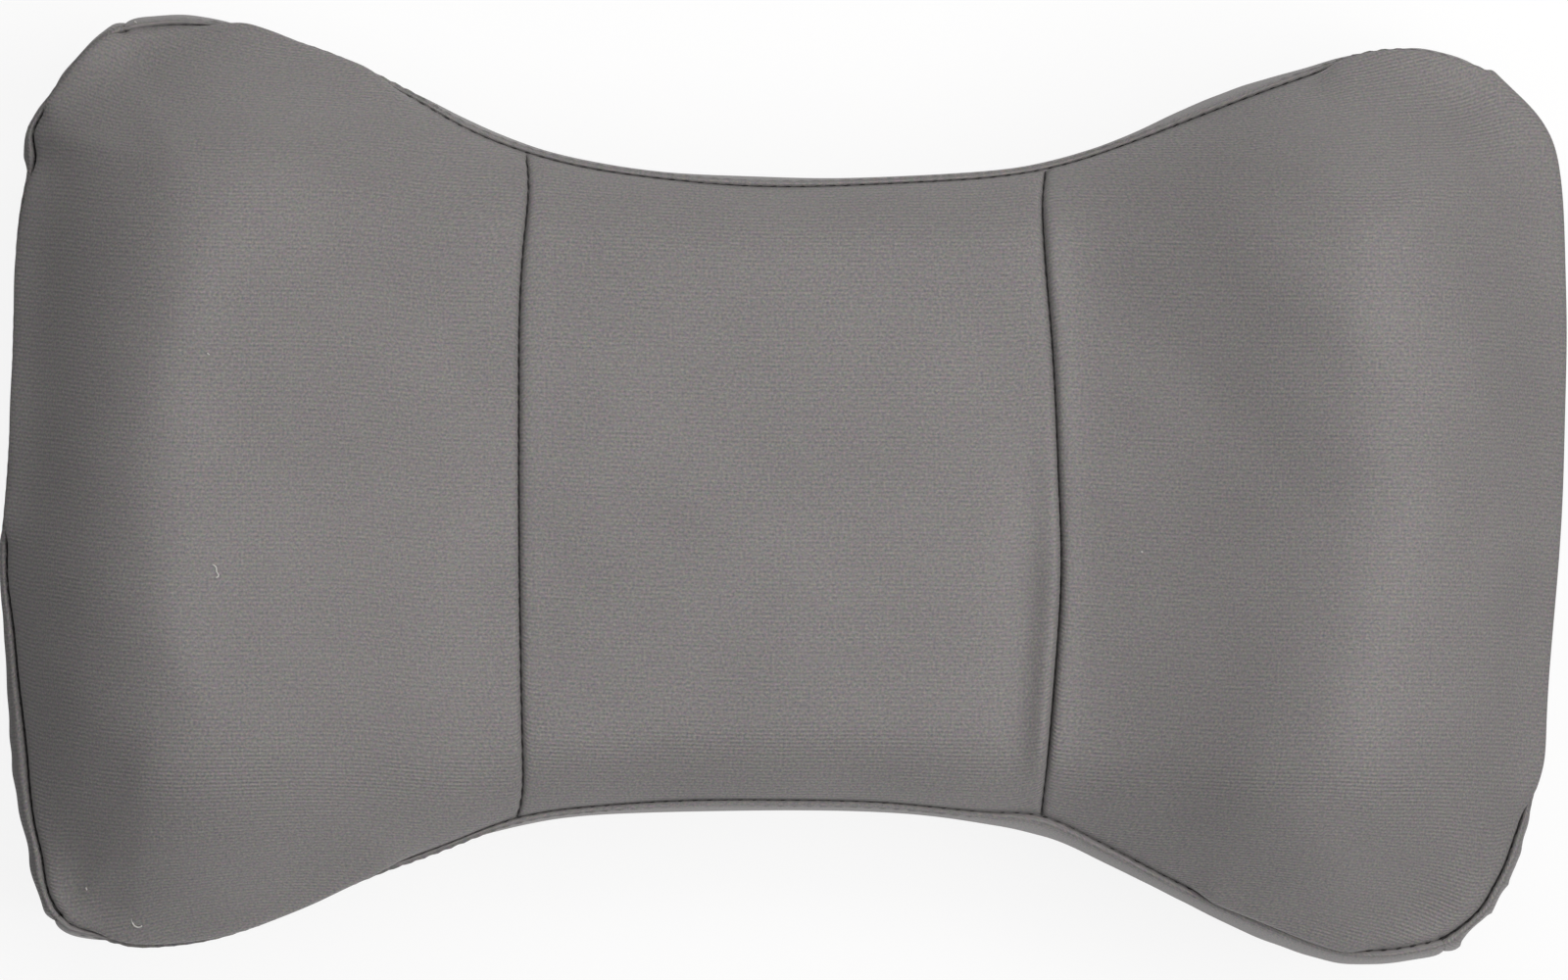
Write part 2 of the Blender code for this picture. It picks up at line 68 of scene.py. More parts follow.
Colour = tuple[float, float, float, float]
PlanPoints = tuple[tuple[float, float], ...]
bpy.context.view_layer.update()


class Side(Enum):
    """Edges of the face; the long ones run from left to right, the end ones from the bottom up."""

    TOP = "top"
    BOTTOM = "bottom"
    LEFT = "left"
    RIGHT = "right"

    @property
    def outwards(self) -> float:
        """Sign that turns the edge's left-hand normal out of the pillow."""
        return 1.0 if self in (Side.TOP, Side.LEFT) else -1.0

    @property
    def is_long(self) -> bool:
        """Whether the edge runs from lobe to lobe."""
        return self in (Side.TOP, Side.BOTTOM)


# For each side, distances from its seam and shares of the seam's length
Nearness = dict[Side, tuple[np.ndarray, np.ndarray]]


def linear(hex_colour: str) -> Colour:
    """Turn an sRGB hex colour to linear light.

    Args:
        hex_colour: six hex digits, red first.

    Returns:
        Red, green, blue and an alpha of 1.
    """
    shares = [int(hex_colour[start:start + 2], 16) / 255.0 for start in (0, 2, 4)]
    light = [share / 12.92 if share <= 0.04045 else ((share + 0.055) / 1.055) ** 2.4 for share in shares]
    return (*light, 1.0)


def smoothstep(share: np.ndarray) -> np.ndarray:
    """Ease a share of 0 to 1, held at its ends."""
    held = np.clip(share, 0.0, 1.0)
    return held * held * (3.0 - 2.0 * held)


def blend(start: np.ndarray, end: np.ndarray, share: np.ndarray) -> np.ndarray:
    """Mix two values."""
    return start + (end - start) * share


def rolled(distance: np.ndarray, radius: np.ndarray) -> np.ndarray:
    """Height share of a rounded edge: 0 at the seam, 1 from one radius inwards."""
    left = np.clip(1.0 - distance / radius, 0.0, 1.0)
    return np.sqrt(np.clip(1.0 - left * left, 0.0, 1.0))


def domed(distance: np.ndarray, radius: np.ndarray) -> np.ndarray:
    """Height share of a domed edge: it leaves the seam at a slope, and is level from one radius inwards."""
    return 1.0 - np.clip(1.0 - distance / radius, 0.0, 1.0) ** DOME_POWER


def window(share: np.ndarray, start: float, end: float, ease: float) -> np.ndarray:
    """1 between two shares, easing to 0 outside them."""
    return smoothstep((share - start) / ease + 1.0) * smoothstep((end - share) / ease + 1.0)


def packed(count: int, roll_start: float = 0.0, roll_end: float = 0.0,
           fine_start: float = 0.0, fine_end: float = 0.0) -> np.ndarray:
    """Grid lines from 0 to 1, closer together where the surface turns.

    Args:
        count: number of lines.
        roll_start: pull of lines to a rolled edge at 0.
        roll_end: pull of lines to a rolled edge at 1.
        fine_start: pull of lines to a flat seam at 0.
        fine_end: pull of lines to a flat seam at 1.

    Returns:
        Rising positions.
    """
    crowded = np.linspace(0.0, 1.0, GRID_SAMPLES) ** 2
    spots = np.unique(np.concatenate([crowded, 1.0 - crowded]))
    order = (spots + roll_start * np.sqrt(spots) + roll_end * (1.0 - np.sqrt(1.0 - spots))
             + fine_start * (1.0 - np.exp(-spots / FINE_REACH))
             + fine_end * np.exp((spots - 1.0) / FINE_REACH))
    order = (order - order[0]) / (order[-1] - order[0])
    return np.interp(np.linspace(0.0, 1.0, count), order, spots)


def run_along(path: np.ndarray) -> np.ndarray:
    """Length from a path's first point to each of its points."""
    return np.concatenate([[0.0], np.cumsum(np.linalg.norm(np.diff(path, axis=0), axis=1))])


def lifted(flat: np.ndarray, height: np.ndarray) -> np.ndarray:
    """Plan points, each raised to its height."""
    return np.concatenate([flat, height[..., None]], axis=-1)


def box_mm(node: str) -> tuple[np.ndarray, np.ndarray]:
    """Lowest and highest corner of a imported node, in millimetres."""
    low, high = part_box(node)
    return np.array(low) / MM, np.array(high) / MM


class Line:
    """A smooth plan line through given points, read at shares of its length."""

    STATIONS = 900
    SPLINE_STATIONS = 3600
    POINTS_AT_ONCE = 4000

    def __init__(self, points: PlanPoints, outwards: float = 1.0) -> None:
        """Fit the line.

        Args:
            points: plan points in millimetres.
            outwards: sign that turns the left-hand normal out of the pillow.
        """
        knots = np.array(points, float)
        chord = run_along(knots)
        dense = self._spline(chord, knots, np.linspace(0.0, chord[-1], self.SPLINE_STATIONS))
        run = run_along(dense)
        self.length = float(run[-1])
        even = np.linspace(0.0, self.length, self.STATIONS)
        self.points = np.stack([np.interp(even, run, dense[:, axis]) for axis in (0, 1)], axis=1)
        along = np.gradient(self.points, axis=0)
        along /= np.linalg.norm(along, axis=1)[:, None]
        self.normals = outwards * np.stack([-along[:, 1], along[:, 0]], axis=1)

    @staticmethod
    def _spline(chord: np.ndarray, knots: np.ndarray, at: np.ndarray) -> np.ndarray:
        """Read a natural cubic spline.

        Args:
            chord: rising parameter of each knot.
            knots: the points.
            at: parameters to read.

        Returns:
            One point for each parameter.
        """
        steps = np.diff(chord)
        size = len(chord)
        system = np.eye(size)
        right = np.zeros_like(knots)
        for row in range(1, size - 1):
            system[row, row - 1:row + 2] = steps[row - 1], 2.0 * (steps[row - 1] + steps[row]), steps[row]
            right[row] = 6.0 * ((knots[row + 1] - knots[row]) / steps[row]
                                - (knots[row] - knots[row - 1]) / steps[row - 1])
        bend = np.linalg.solve(system, right)
        span = np.clip(np.searchsorted(chord, at, side="right") - 1, 0, size - 2)
        step = steps[span][:, None]
        past = (at - chord[span])[:, None]
        left = step - past
        return ((bend[span] * left ** 3 + bend[span + 1] * past ** 3) / (6.0 * step)
                + (knots[span] / step - bend[span] * step / 6.0) * left
                + (knots[span + 1] / step - bend[span + 1] * step / 6.0) * past)

    def _read(self, values: np.ndarray, shares: np.ndarray) -> np.ndarray:
        """Read values that the line's stations have.

        Args:
            values: one pair for each station.
            shares: shares of the line's length.

        Returns:
            One pair for each share.
        """
        place = np.clip(shares, 0.0, 1.0) * (self.STATIONS - 1)
        stations = np.arange(self.STATIONS)
        return np.stack([np.interp(place, stations, values[:, axis]) for axis in (0, 1)], axis=-1)

    def at(self, shares: np.ndarray) -> np.ndarray:
        """Plan points at shares of the length."""
        return self._read(self.points, np.asarray(shares, float))

    def normal(self, shares: np.ndarray) -> np.ndarray:
        """Outward normals at shares of the length."""
        return self._read(self.normals, np.asarray(shares, float))

    def share_at(self, value: float, axis: int) -> float:
        """Share of the length where the line first reaches a coordinate."""
        return float(np.argmin(np.abs(self.points[:, axis] - value)) / (self.STATIONS - 1))

    def gap_to(self, other: "Line", shares: np.ndarray) -> np.ndarray:
        """Measure how far another line lies outside this one.

        Args:
            other: the other line.
            shares: shares of this line's length.

        Returns:
            Distance along the outward normals, negative where the other line lies inside.
        """
        places = self.at(shares)
        _, found = other.nearest(places)
        return np.sum((other.at(found) - places) * self.normal(shares), axis=-1)

    def nearest(self, places: np.ndarray) -> tuple[np.ndarray, np.ndarray]:
        """Measure how far plan points lie from the line.

        Args:
            places: plan points, in any grid shape with a last axis of 2.

        Returns:
            Distance and share of the nearest point, in the grid's shape.
        """
        flat = places.reshape(-1, 2)
        distances, shares = np.empty(len(flat)), np.empty(len(flat))
        for chunk in np.array_split(np.arange(len(flat)), max(1, len(flat) // self.POINTS_AT_ONCE)):
            gaps = np.linalg.norm(flat[chunk, None, :] - self.points[None, :, :], axis=2)
            near = np.clip(np.argmin(gaps, axis=1), 1, self.STATIONS - 2)
            best, place = np.full(len(chunk), np.inf), np.zeros(len(chunk))
            for start in (near - 1, near):
                low, run = self.points[start], self.points[start + 1] - self.points[start]
                share = np.sum((flat[chunk] - low) * run, axis=1) / np.sum(run * run, axis=1)
                share = np.clip(share, 0.0, 1.0)
                gap = np.linalg.norm(flat[chunk] - low - run * share[:, None], axis=1)
                closer = gap < best
                best, place = np.where(closer, gap, best), np.where(closer, start + share, place)
            distances[chunk], shares[chunk] = best, place / (self.STATIONS - 1)
        return distances.reshape(places.shape[:-1]), shares.reshape(places.shape[:-1])


def patch(bottom: np.ndarray, top: np.ndarray, left: np.ndarray, right: np.ndarray,
          across: np.ndarray, up: np.ndarray) -> np.ndarray:
    """Fill a four-sided outline with a grid that follows its edges.

    Args:
        bottom: points of the lower edge, one for each column.
        top: points of the upper edge.
        left: points of the left edge, one for each row.
        right: points of the right edge.
        across: share of each column.
        up: share of each row.

    Returns:
        Grid of rows, columns and coordinates.
    """
    u, v = across[None, :, None], up[:, None, None]
    corners = ((1 - u) * (1 - v) * bottom[0] + u * (1 - v) * bottom[-1]
               + (1 - u) * v * top[0] + u * v * top[-1])
    return ((1 - v) * bottom[None] + v * top[None] + (1 - u) * left[:, None] + u * right[:, None]) - corners


def grid_normals(grid: np.ndarray) -> np.ndarray:
    """Work out the unit normals of a grid, from its neighbours across and up.

    Args:
        grid: points in rows and columns.

    Returns:
        One normal for each point.
    """
    across, up = np.gradient(grid, axis=1), np.gradient(grid, axis=0)
    square = np.cross(across, up)
    return square / np.maximum(np.linalg.norm(square, axis=-1, keepdims=True), TINY)


def cloth_lengths(grid: np.ndarray) -> np.ndarray:
    """Lay a grid out flat: the length along its rows and along its columns, from its middle.

    Args:
        grid: points in millimetres.

    Returns:
        For each point, the length across, the length up and 0.
    """
    laid = np.zeros_like(grid)
    for axis, place in ((1, 0), (0, 1)):
        steps = np.linalg.norm(np.diff(grid, axis=axis), axis=-1)
        start = np.zeros_like(np.take(steps, [0], axis=axis))
        run = np.concatenate([start, np.cumsum(steps, axis=axis)], axis=axis)
        middle = np.take(run, [run.shape[axis] // 2], axis=axis)
        laid[..., place] = run - middle
    return laid


class Mesh:
    """Points, faces and cloth coordinates that build up to one mesh, in millimetres."""

    # Rise, as a share of a tube's run, from which its ring is set by X instead of by Z
    STEEP = 0.9

    def __init__(self) -> None:
        """Start empty."""
        self.points: list[np.ndarray] = []
        self.cloth: list[np.ndarray] = []
        self.faces: list[tuple[int, ...]] = []
        self.count = 0

    def add(self, points: np.ndarray, faces: list[tuple[int, ...]], cloth: np.ndarray | None = None) -> None:
        """Add points and faces.

        Args:
            points: the points.
            faces: faces that number these points from 0.
            cloth: cloth coordinates of the points, or none where the points themselves serve.
        """
        self.points.append(points)
        self.cloth.append(points if cloth is None else cloth)
        self.faces.extend(tuple(corner + self.count for corner in face) for face in faces)
        self.count += len(points)

    def add_shell(self, grid: np.ndarray, thickness: float) -> None:
        """Add a closed sheet: a grid as its outer face, and the same grid one thickness behind it.

        Args:
            grid: outer face, seen from outside with rows up and columns to the right.
            thickness: depth of the cloth.
        """
        self.add_block(grid, grid - grid_normals(grid) * thickness)

    def add_block(self, grid: np.ndarray, inside: np.ndarray) -> None:
        """Add a closed solid between two grids of one shape.

        Args:
            grid: outer face, seen from outside with rows up and columns to the right.
            inside: face behind it.
        """
        rows, columns = grid.shape[:2]
        number = np.arange(rows * columns).reshape(rows, columns)
        low, high = number[:-1, :-1], number[1:, 1:]
        outer = np.stack([low, number[:-1, 1:], high, number[1:, :-1]], axis=-1).reshape(-1, 4)
        inner = outer[:, ::-1] + rows * columns
        rim = np.concatenate([number[0, :], number[1:, -1], number[-1, -2::-1], number[-2:0:-1, 0]])
        after = np.roll(rim, -1)
        wall = np.stack([rim, rim + rows * columns, after + rows * columns, after], axis=-1)
        laid = cloth_lengths(grid).reshape(-1, 3)
        faces = [tuple(face) for face in np.concatenate([outer, inner, wall]).tolist()]
        points = np.concatenate([grid.reshape(-1, 3), inside.reshape(-1, 3)])
        self.add(points, faces, np.concatenate([laid, laid]))

    def add_tube(self, path: np.ndarray, radius: np.ndarray, sides: int = 6) -> None:
        """Add a closed round tube along a path.

        Args:
            path: centre points.
            radius: one radius for each point.
            sides: number of flats round the tube.
        """
        along = np.gradient(path, axis=0)
        along /= np.maximum(np.linalg.norm(along, axis=1)[:, None], TINY)
        steep = np.abs(along[:, 2:]) > self.STEEP
        up = np.where(steep, np.array([[1.0, 0.0, 0.0]]), np.array([[0.0, 0.0, 1.0]]))
        side = np.cross(along, up)
        side /= np.linalg.norm(side, axis=1)[:, None]
        other = np.cross(side, along)
        angle = np.arange(sides) / sides * TURN
        ring = side[:, None] * np.cos(angle)[None, :, None] + other[:, None] * np.sin(angle)[None, :, None]
        points = path[:, None] + ring * np.asarray(radius, float).reshape(-1, 1, 1)
        faces = []
        for step in range(len(path) - 1):
            for flat in range(sides):
                after = (flat + 1) % sides
                faces.append((step * sides + flat, step * sides + after, (step + 1) * sides + after,
                              (step + 1) * sides + flat))
        last = (len(path) - 1) * sides
        faces.append(tuple(range(sides - 1, -1, -1)))
        faces.append(tuple(range(last, last + sides)))
        cloth = np.zeros((len(path), sides, 3))
        cloth[..., 0] = run_along(path)[:, None]
        cloth[..., 1] = (angle * float(np.mean(radius)))[None, :]
        self.add(points.reshape(-1, 3), faces, cloth.reshape(-1, 3))

    def build(self, name: str) -> bpy.types.Mesh:
        """Make the Blender mesh, in metres, with its cloth coordinates kept in millimetres.

        Args:
            name: name of the mesh.

        Returns:
            The mesh.
        """
        points = np.concatenate(self.points)
        made = bpy.data.meshes.new(name)
        made.from_pydata((points * MM).tolist(), [], self.faces)
        laid = made.attributes.new(CLOTH, "FLOAT_VECTOR", "POINT")
        laid.data.foreach_set("vector", np.concatenate(self.cloth).astype(np.float32).ravel())
        made.validate()
        made.shade_smooth()
        return made


def add_node(tree: bpy.types.NodeTree, kind: str, settings: dict | None = None,
             inputs: dict | None = None) -> bpy.types.Node:
    """Add a shader node.

    Args:
        tree: node tree of the material.
        kind: node type.
        settings: node properties by name.
        inputs: values or sockets for the node's inputs, by name or number.

    Returns:
        The node.
    """
    node = tree.nodes.new(kind)
    for key, value in (settings or {}).items():
        setattr(node, key, value)
    for key, value in (inputs or {}).items():
        if isinstance(value, bpy.types.NodeSocket):
            tree.links.new(value, node.inputs[key])
        else:
            node.inputs[key].default_value = value
    return node


class Finish:
    """A surface finish that makes its material once."""

    name: str

    def material(self) -> bpy.types.Material:
        """Give the finish's material, and make it at its first use.

        Returns:
            The material.
        """
        made = bpy.data.materials.get(self.name)
        if made is None:
            made = bpy.data.materials.new(self.name)
            made.use_nodes = True
            made.node_tree.nodes.clear()
            shader = add_node(made.node_tree, "ShaderNodeBsdfPrincipled")
            add_node(made.node_tree, "ShaderNodeOutputMaterial", inputs={"Surface": shader.outputs["BSDF"]})
            self.dress(made.node_tree, shader.inputs)
        return made

    def dress(self, tree: bpy.types.NodeTree, surface: bpy.types.NodeInputs) -> None:
        """Set the shader's colour, gloss and relief.

        Args:
            tree: node tree of the material.
            surface: inputs of its surface shader.
        """
        raise NotImplementedError


@dataclass(frozen=True)
class InterlockKnit(Finish):
    """Polyester interlock knit, circular-knitted and brushed lightly: a matt face with fine level courses.

    The loops give the eye a soft grain, and the level courses show where the cloth turns away at the ends.
    """

    name: str = "Interlock_knit_polyester"
    yarn_dark: str = "6D6B6B"
    yarn_light: str = "8C8988"
    # The real courses are 0.55 mm apart; they are drawn a little coarser, so that they show in the render
    course_pitch: float = 0.8
    grain_size: float = 0.5
    mottle_size: float = 30.0
    course_relief: float = 0.7
    relief_depth: float = 0.09
    relief_strength: float = 0.6
    courses_along: int = 1
    # Share of the courses in the tone, painted shade that darkens their troughs; share of the slow mottle in
    # the tone, and the tones of the darkest and lightest yarn
    course_shade: float = 0.06
    mottle_tone: float = 0.2
    darkest: float = 0.36
    lightest: float = 0.84
    speckle: float = 0.3
    roughness: float = 0.88
    refraction: float = 1.45
    gloss: float = 0.25
    sheen: float = 0.15
    sheen_roughness: float = 0.45

    def dress(self, tree: bpy.types.NodeTree, surface: bpy.types.NodeInputs) -> None:
        """Set the knit's grain, courses and sheen.

        Args:
            tree: node tree of the material.
            surface: inputs of its surface shader.
        """
        laid = add_node(tree, "ShaderNodeAttribute", {"attribute_name": CLOTH}).outputs["Vector"]
        parts = add_node(tree, "ShaderNodeSeparateXYZ", inputs={0: laid}).outputs
        loops = add_node(tree, "ShaderNodeTexNoise", inputs={
            "Vector": laid, "Scale": 1.0 / self.grain_size, "Detail": 2.0, "Roughness": 0.6}).outputs
        mottle = add_node(tree, "ShaderNodeTexNoise", inputs={
            "Vector": laid, "Scale": 1.0 / self.mottle_size, "Detail": 2.0}).outputs["Fac"]
        phase = add_node(tree, "ShaderNodeMath", {"operation": "MULTIPLY_ADD"}, {
            0: parts[self.courses_along], 1: TURN / self.course_pitch, 2: loops["Fac"]}).outputs[0]
        course = add_node(tree, "ShaderNodeMath", {"operation": "SINE"}, {0: phase}).outputs[0]
        relief = add_node(tree, "ShaderNodeMath", {"operation": "MULTIPLY_ADD"}, {
            0: course, 1: self.course_relief, 2: loops["Fac"]}).outputs[0]
        # Painted shade: the tone follows the courses' relief and is darker in their troughs; the loop grain
        # is the yarn's own tone
        tone = add_node(tree, "ShaderNodeMath", {"operation": "MULTIPLY_ADD"}, {
            0: course, 1: self.course_shade, 2: loops["Fac"]}).outputs[0]
        drift = add_node(tree, "ShaderNodeMath", {"operation": "MULTIPLY_ADD"}, {
            0: mottle, 1: self.mottle_tone, 2: tone}).outputs[0]
        share = add_node(tree, "ShaderNodeMapRange", inputs={
            "Value": drift, "From Min": self.darkest, "From Max": self.lightest}).outputs[0]
        yarn = add_node(tree, "ShaderNodeMix", {"data_type": "RGBA"}, {
            0: share, 6: linear(self.yarn_dark), 7: linear(self.yarn_light)}).outputs[2]
        colour = add_node(tree, "ShaderNodeMix", {"data_type": "RGBA", "blend_type": "OVERLAY"}, {
            0: self.speckle, 6: yarn, 7: loops["Color"]}).outputs[2]
        bump = add_node(tree, "ShaderNodeBump", inputs={
            "Height": relief, "Strength": self.relief_strength,
            "Distance": self.relief_depth * MM}).outputs[0]
        tree.links.new(colour, surface["Base Color"])
        tree.links.new(bump, surface["Normal"])
        surface["Roughness"].default_value = self.roughness
        surface["IOR"].default_value = self.refraction
        surface["Specular IOR Level"].default_value = self.gloss
        surface["Sheen Weight"].default_value = self.sheen
        surface["Sheen Roughness"].default_value = self.sheen_roughness


@dataclass(frozen=True)
class SpunThread(Finish):
    """Spun polyester sewing thread, two plies twisted: a dull dark line with a slant in it."""

    name: str = "Spun_polyester_thread"
    colour: str = "232122"
    ply_shadow: str = "121111"
    twist_pitch: float = 0.6
    twist_depth: float = 0.04
    fuzz: float = 0.6
    relief_strength: float = 0.7
    roughness: float = 0.75
    sheen: float = 0.1

    def dress(self, tree: bpy.types.NodeTree, surface: bpy.types.NodeInputs) -> None:
        """Set the thread's slanting plies.

        Args:
            tree: node tree of the material.
            surface: inputs of its surface shader.
        """
        laid = add_node(tree, "ShaderNodeAttribute", {"attribute_name": CLOTH}).outputs["Vector"]
        twist = add_node(tree, "ShaderNodeTexWave", {"bands_direction": "DIAGONAL"}, {
            "Vector": laid, "Scale": 1.0 / self.twist_pitch, "Distortion": self.fuzz}).outputs["Fac"]
        colour = add_node(tree, "ShaderNodeMix", {"data_type": "RGBA"}, {
            0: twist, 6: linear(self.ply_shadow), 7: linear(self.colour)}).outputs[2]
        bump = add_node(tree, "ShaderNodeBump", inputs={
            "Height": twist, "Strength": self.relief_strength, "Distance": self.twist_depth * MM}).outputs[0]
        tree.links.new(colour, surface["Base Color"])
        tree.links.new(bump, surface["Normal"])
        surface["Roughness"].default_value = self.roughness
        surface["Sheen Weight"].default_value = self.sheen


@dataclass(frozen=True)
class MouldedFoam(Finish):
    """Slow-recovery polyurethane foam, moulded: a cream, dead matt block with small open cells."""

    name: str = "Polyurethane_foam_moulded"
    # The cream of the foam, and a darker tone painted as shade in the hollows of its cells
    skin: str = "E4D9BC"
    cell_shade: str = "C9BB96"
    cell_size: float = 0.8
    cell_depth: float = 0.2
    relief_strength: float = 0.5
    roughness: float = 0.95
    depth_share: float = 0.1
    depths: tuple[float, float, float] = (0.002, 0.0015, 0.001)

    def dress(self, tree: bpy.types.NodeTree, surface: bpy.types.NodeInputs) -> None:
        """Set the foam's cells.

        Args:
            tree: node tree of the material.
            surface: inputs of its surface shader.
        """
        laid = add_node(tree, "ShaderNodeAttribute", {"attribute_name": CLOTH}).outputs["Vector"]
        cells = add_node(tree, "ShaderNodeTexVoronoi", inputs={
            "Vector": laid, "Scale": 1.0 / self.cell_size}).outputs["Distance"]
        # Painted shade: darker towards each cell's middle, where the relief sinks
        colour = add_node(tree, "ShaderNodeMix", {"data_type": "RGBA"}, {
            0: cells, 6: linear(self.cell_shade), 7: linear(self.skin)}).outputs[2]
        bump = add_node(tree, "ShaderNodeBump", inputs={
            "Height": cells, "Strength": self.relief_strength, "Distance": self.cell_depth * MM}).outputs[0]
        tree.links.new(colour, surface["Base Color"])
        tree.links.new(bump, surface["Normal"])
        surface["Roughness"].default_value = self.roughness
        surface["Subsurface Weight"].default_value = self.depth_share
        surface["Subsurface Radius"].default_value = self.depths


@dataclass(frozen=True)
class WovenBand(Finish):
    """Polyester narrow fabric, shuttle-woven: close ribs along it, crossed by finer picks."""

    name: str = "Woven_zip_tape"
    # Tone of the ribs, and a darker tone painted as shade in the valleys between them
    rib: str = "5F5C5B"
    valley_shade: str = "3F3D3C"
    rib_pitch: float = 0.8
    pick_pitch: float = 0.6
    pick_share: float = 0.4
    depth: float = 0.08
    relief_strength: float = 0.8
    roughness: float = 0.8
    sheen: float = 0.15

    def dress(self, tree: bpy.types.NodeTree, surface: bpy.types.NodeInputs) -> None:
        """Set the band's ribs and picks.

        Args:
            tree: node tree of the material.
            surface: inputs of its surface shader.
        """
        laid = add_node(tree, "ShaderNodeAttribute", {"attribute_name": CLOTH}).outputs["Vector"]
        parts = add_node(tree, "ShaderNodeSeparateXYZ", inputs={0: laid}).outputs
        waves = []
        for length, pitch in ((parts[1], self.rib_pitch), (parts[0], self.pick_pitch)):
            phase = add_node(tree, "ShaderNodeMath", {"operation": "MULTIPLY"}, {
                0: length, 1: TURN / pitch}).outputs[0]
            waves.append(add_node(tree, "ShaderNodeMath", {"operation": "SINE"}, {0: phase}).outputs[0])
        weave = add_node(tree, "ShaderNodeMath", {"operation": "MULTIPLY_ADD"}, {
            0: waves[1], 1: self.pick_share, 2: waves[0]}).outputs[0]
        share = add_node(tree, "ShaderNodeMapRange", inputs={
            "Value": weave, "From Min": -1.0 - self.pick_share, "From Max": 1.0 + self.pick_share}).outputs[0]
        # Painted shade: darker where the weave's relief is low, between the ribs
        colour = add_node(tree, "ShaderNodeMix", {"data_type": "RGBA"}, {
            0: share, 6: linear(self.valley_shade), 7: linear(self.rib)}).outputs[2]
        bump = add_node(tree, "ShaderNodeBump", inputs={
            "Height": share, "Strength": self.relief_strength, "Distance": self.depth * MM}).outputs[0]
        tree.links.new(colour, surface["Base Color"])
        tree.links.new(bump, surface["Normal"])
        surface["Roughness"].default_value = self.roughness
        surface["Sheen Weight"].default_value = self.sheen


@dataclass(frozen=True)
class NylonCoil(Finish):
    """Nylon monofilament, extruded and wound: smooth, a little see-through at its edges."""

    name: str = "Nylon_monofilament_wound"
    colour: str = "4C4A49"
    wear_per_mm: float = 0.7
    roughness: tuple[float, float] = (0.32, 0.48)
    refraction: float = 1.53

    def dress(self, tree: bpy.types.NodeTree, surface: bpy.types.NodeInputs) -> None:
        """Set the filament's soft gloss.

        Args:
            tree: node tree of the material.
            surface: inputs of its surface shader.
        """
        laid = add_node(tree, "ShaderNodeAttribute", {"attribute_name": CLOTH}).outputs["Vector"]
        wear = add_node(tree, "ShaderNodeTexNoise", inputs={
            "Vector": laid, "Scale": self.wear_per_mm}).outputs["Fac"]
        gloss = add_node(tree, "ShaderNodeMapRange", inputs={
            "Value": wear, "To Min": self.roughness[0], "To Max": self.roughness[1]}).outputs[0]
        tree.links.new(gloss, surface["Roughness"])
        surface["Base Color"].default_value = linear(self.colour)
        surface["IOR"].default_value = self.refraction


@dataclass(frozen=True)
class PlatedZinc(Finish):
    """Zinc, die-cast, tumbled and nickel-plated dark: a bright edge and a faint cast grain."""

    name: str = "Zinc_diecast_nickel_plated"
    plating: str = "8E8C89"
    tarnish: str = "6E6B67"
    grain_size: float = 0.5
    grain_depth: float = 0.03
    relief_strength: float = 0.25
    roughness: tuple[float, float] = (0.26, 0.42)

    def dress(self, tree: bpy.types.NodeTree, surface: bpy.types.NodeInputs) -> None:
        """Set the plating's tone and grain.

        Args:
            tree: node tree of the material.
            surface: inputs of its surface shader.
        """
        place = add_node(tree, "ShaderNodeTexCoord").outputs["Object"]
        grain = add_node(tree, "ShaderNodeTexNoise", inputs={
            "Vector": place, "Scale": 1.0 / (self.grain_size * MM), "Detail": 3.0}).outputs["Fac"]
        colour = add_node(tree, "ShaderNodeMix", {"data_type": "RGBA"}, {
            0: grain, 6: linear(self.tarnish), 7: linear(self.plating)}).outputs[2]
        gloss = add_node(tree, "ShaderNodeMapRange", inputs={
            "Value": grain, "To Min": self.roughness[0], "To Max": self.roughness[1]}).outputs[0]
        bump = add_node(tree, "ShaderNodeBump", inputs={
            "Height": grain, "Strength": self.relief_strength, "Distance": self.grain_depth * MM}).outputs[0]
        tree.links.new(colour, surface["Base Color"])
        tree.links.new(gloss, surface["Roughness"])
        tree.links.new(bump, surface["Normal"])
        surface["Metallic"].default_value = 1.0


@dataclass(frozen=True)
class LooseFibre(Finish):
    """Loose cotton lint: a white, dull hair, greyer in places."""

    name: str = "Cotton_lint_loose"
    colour: str = "DAD8D4"
    shadow: str = "A9A7A4"
    fades_per_mm: float = 1.2
    roughness: float = 0.9

    def dress(self, tree: bpy.types.NodeTree, surface: bpy.types.NodeInputs) -> None:
        """Set the fibre's uneven white.

        Args:
            tree: node tree of the material.
            surface: inputs of its surface shader.
        """
        laid = add_node(tree, "ShaderNodeAttribute", {"attribute_name": CLOTH}).outputs["Vector"]
        fade = add_node(tree, "ShaderNodeTexNoise", inputs={
            "Vector": laid, "Scale": self.fades_per_mm}).outputs["Fac"]
        colour = add_node(tree, "ShaderNodeMix", {"data_type": "RGBA"}, {
            0: fade, 6: linear(self.shadow), 7: linear(self.colour)}).outputs[2]
        tree.links.new(colour, surface["Base Color"])
        surface["Roughness"].default_value = self.roughness


FACE_KNIT = InterlockKnit()
LONG_STRIP_KNIT = InterlockKnit(name="Interlock_knit_long_strip", course_relief=0.3)
END_STRIP_KNIT = InterlockKnit(name="Interlock_knit_end_strip", courses_along=0, course_relief=0.9)
BACK_KNIT = InterlockKnit(name="Interlock_knit_back")
THREAD = SpunThread()
FOAM = MouldedFoam()
ZIP_TAPE = WovenBand()
# The elastic, too, has painted shade in the valleys between its ribs
ELASTIC = WovenBand(name="Braided_elastic_rubber_core", rib="3B3938", valley_shade="1D1C1B", rib_pitch=1.6,
                    pick_pitch=0.9, depth=0.2)
COIL = NylonCoil()
PLATED = PlatedZinc()
LINT = LooseFibre()


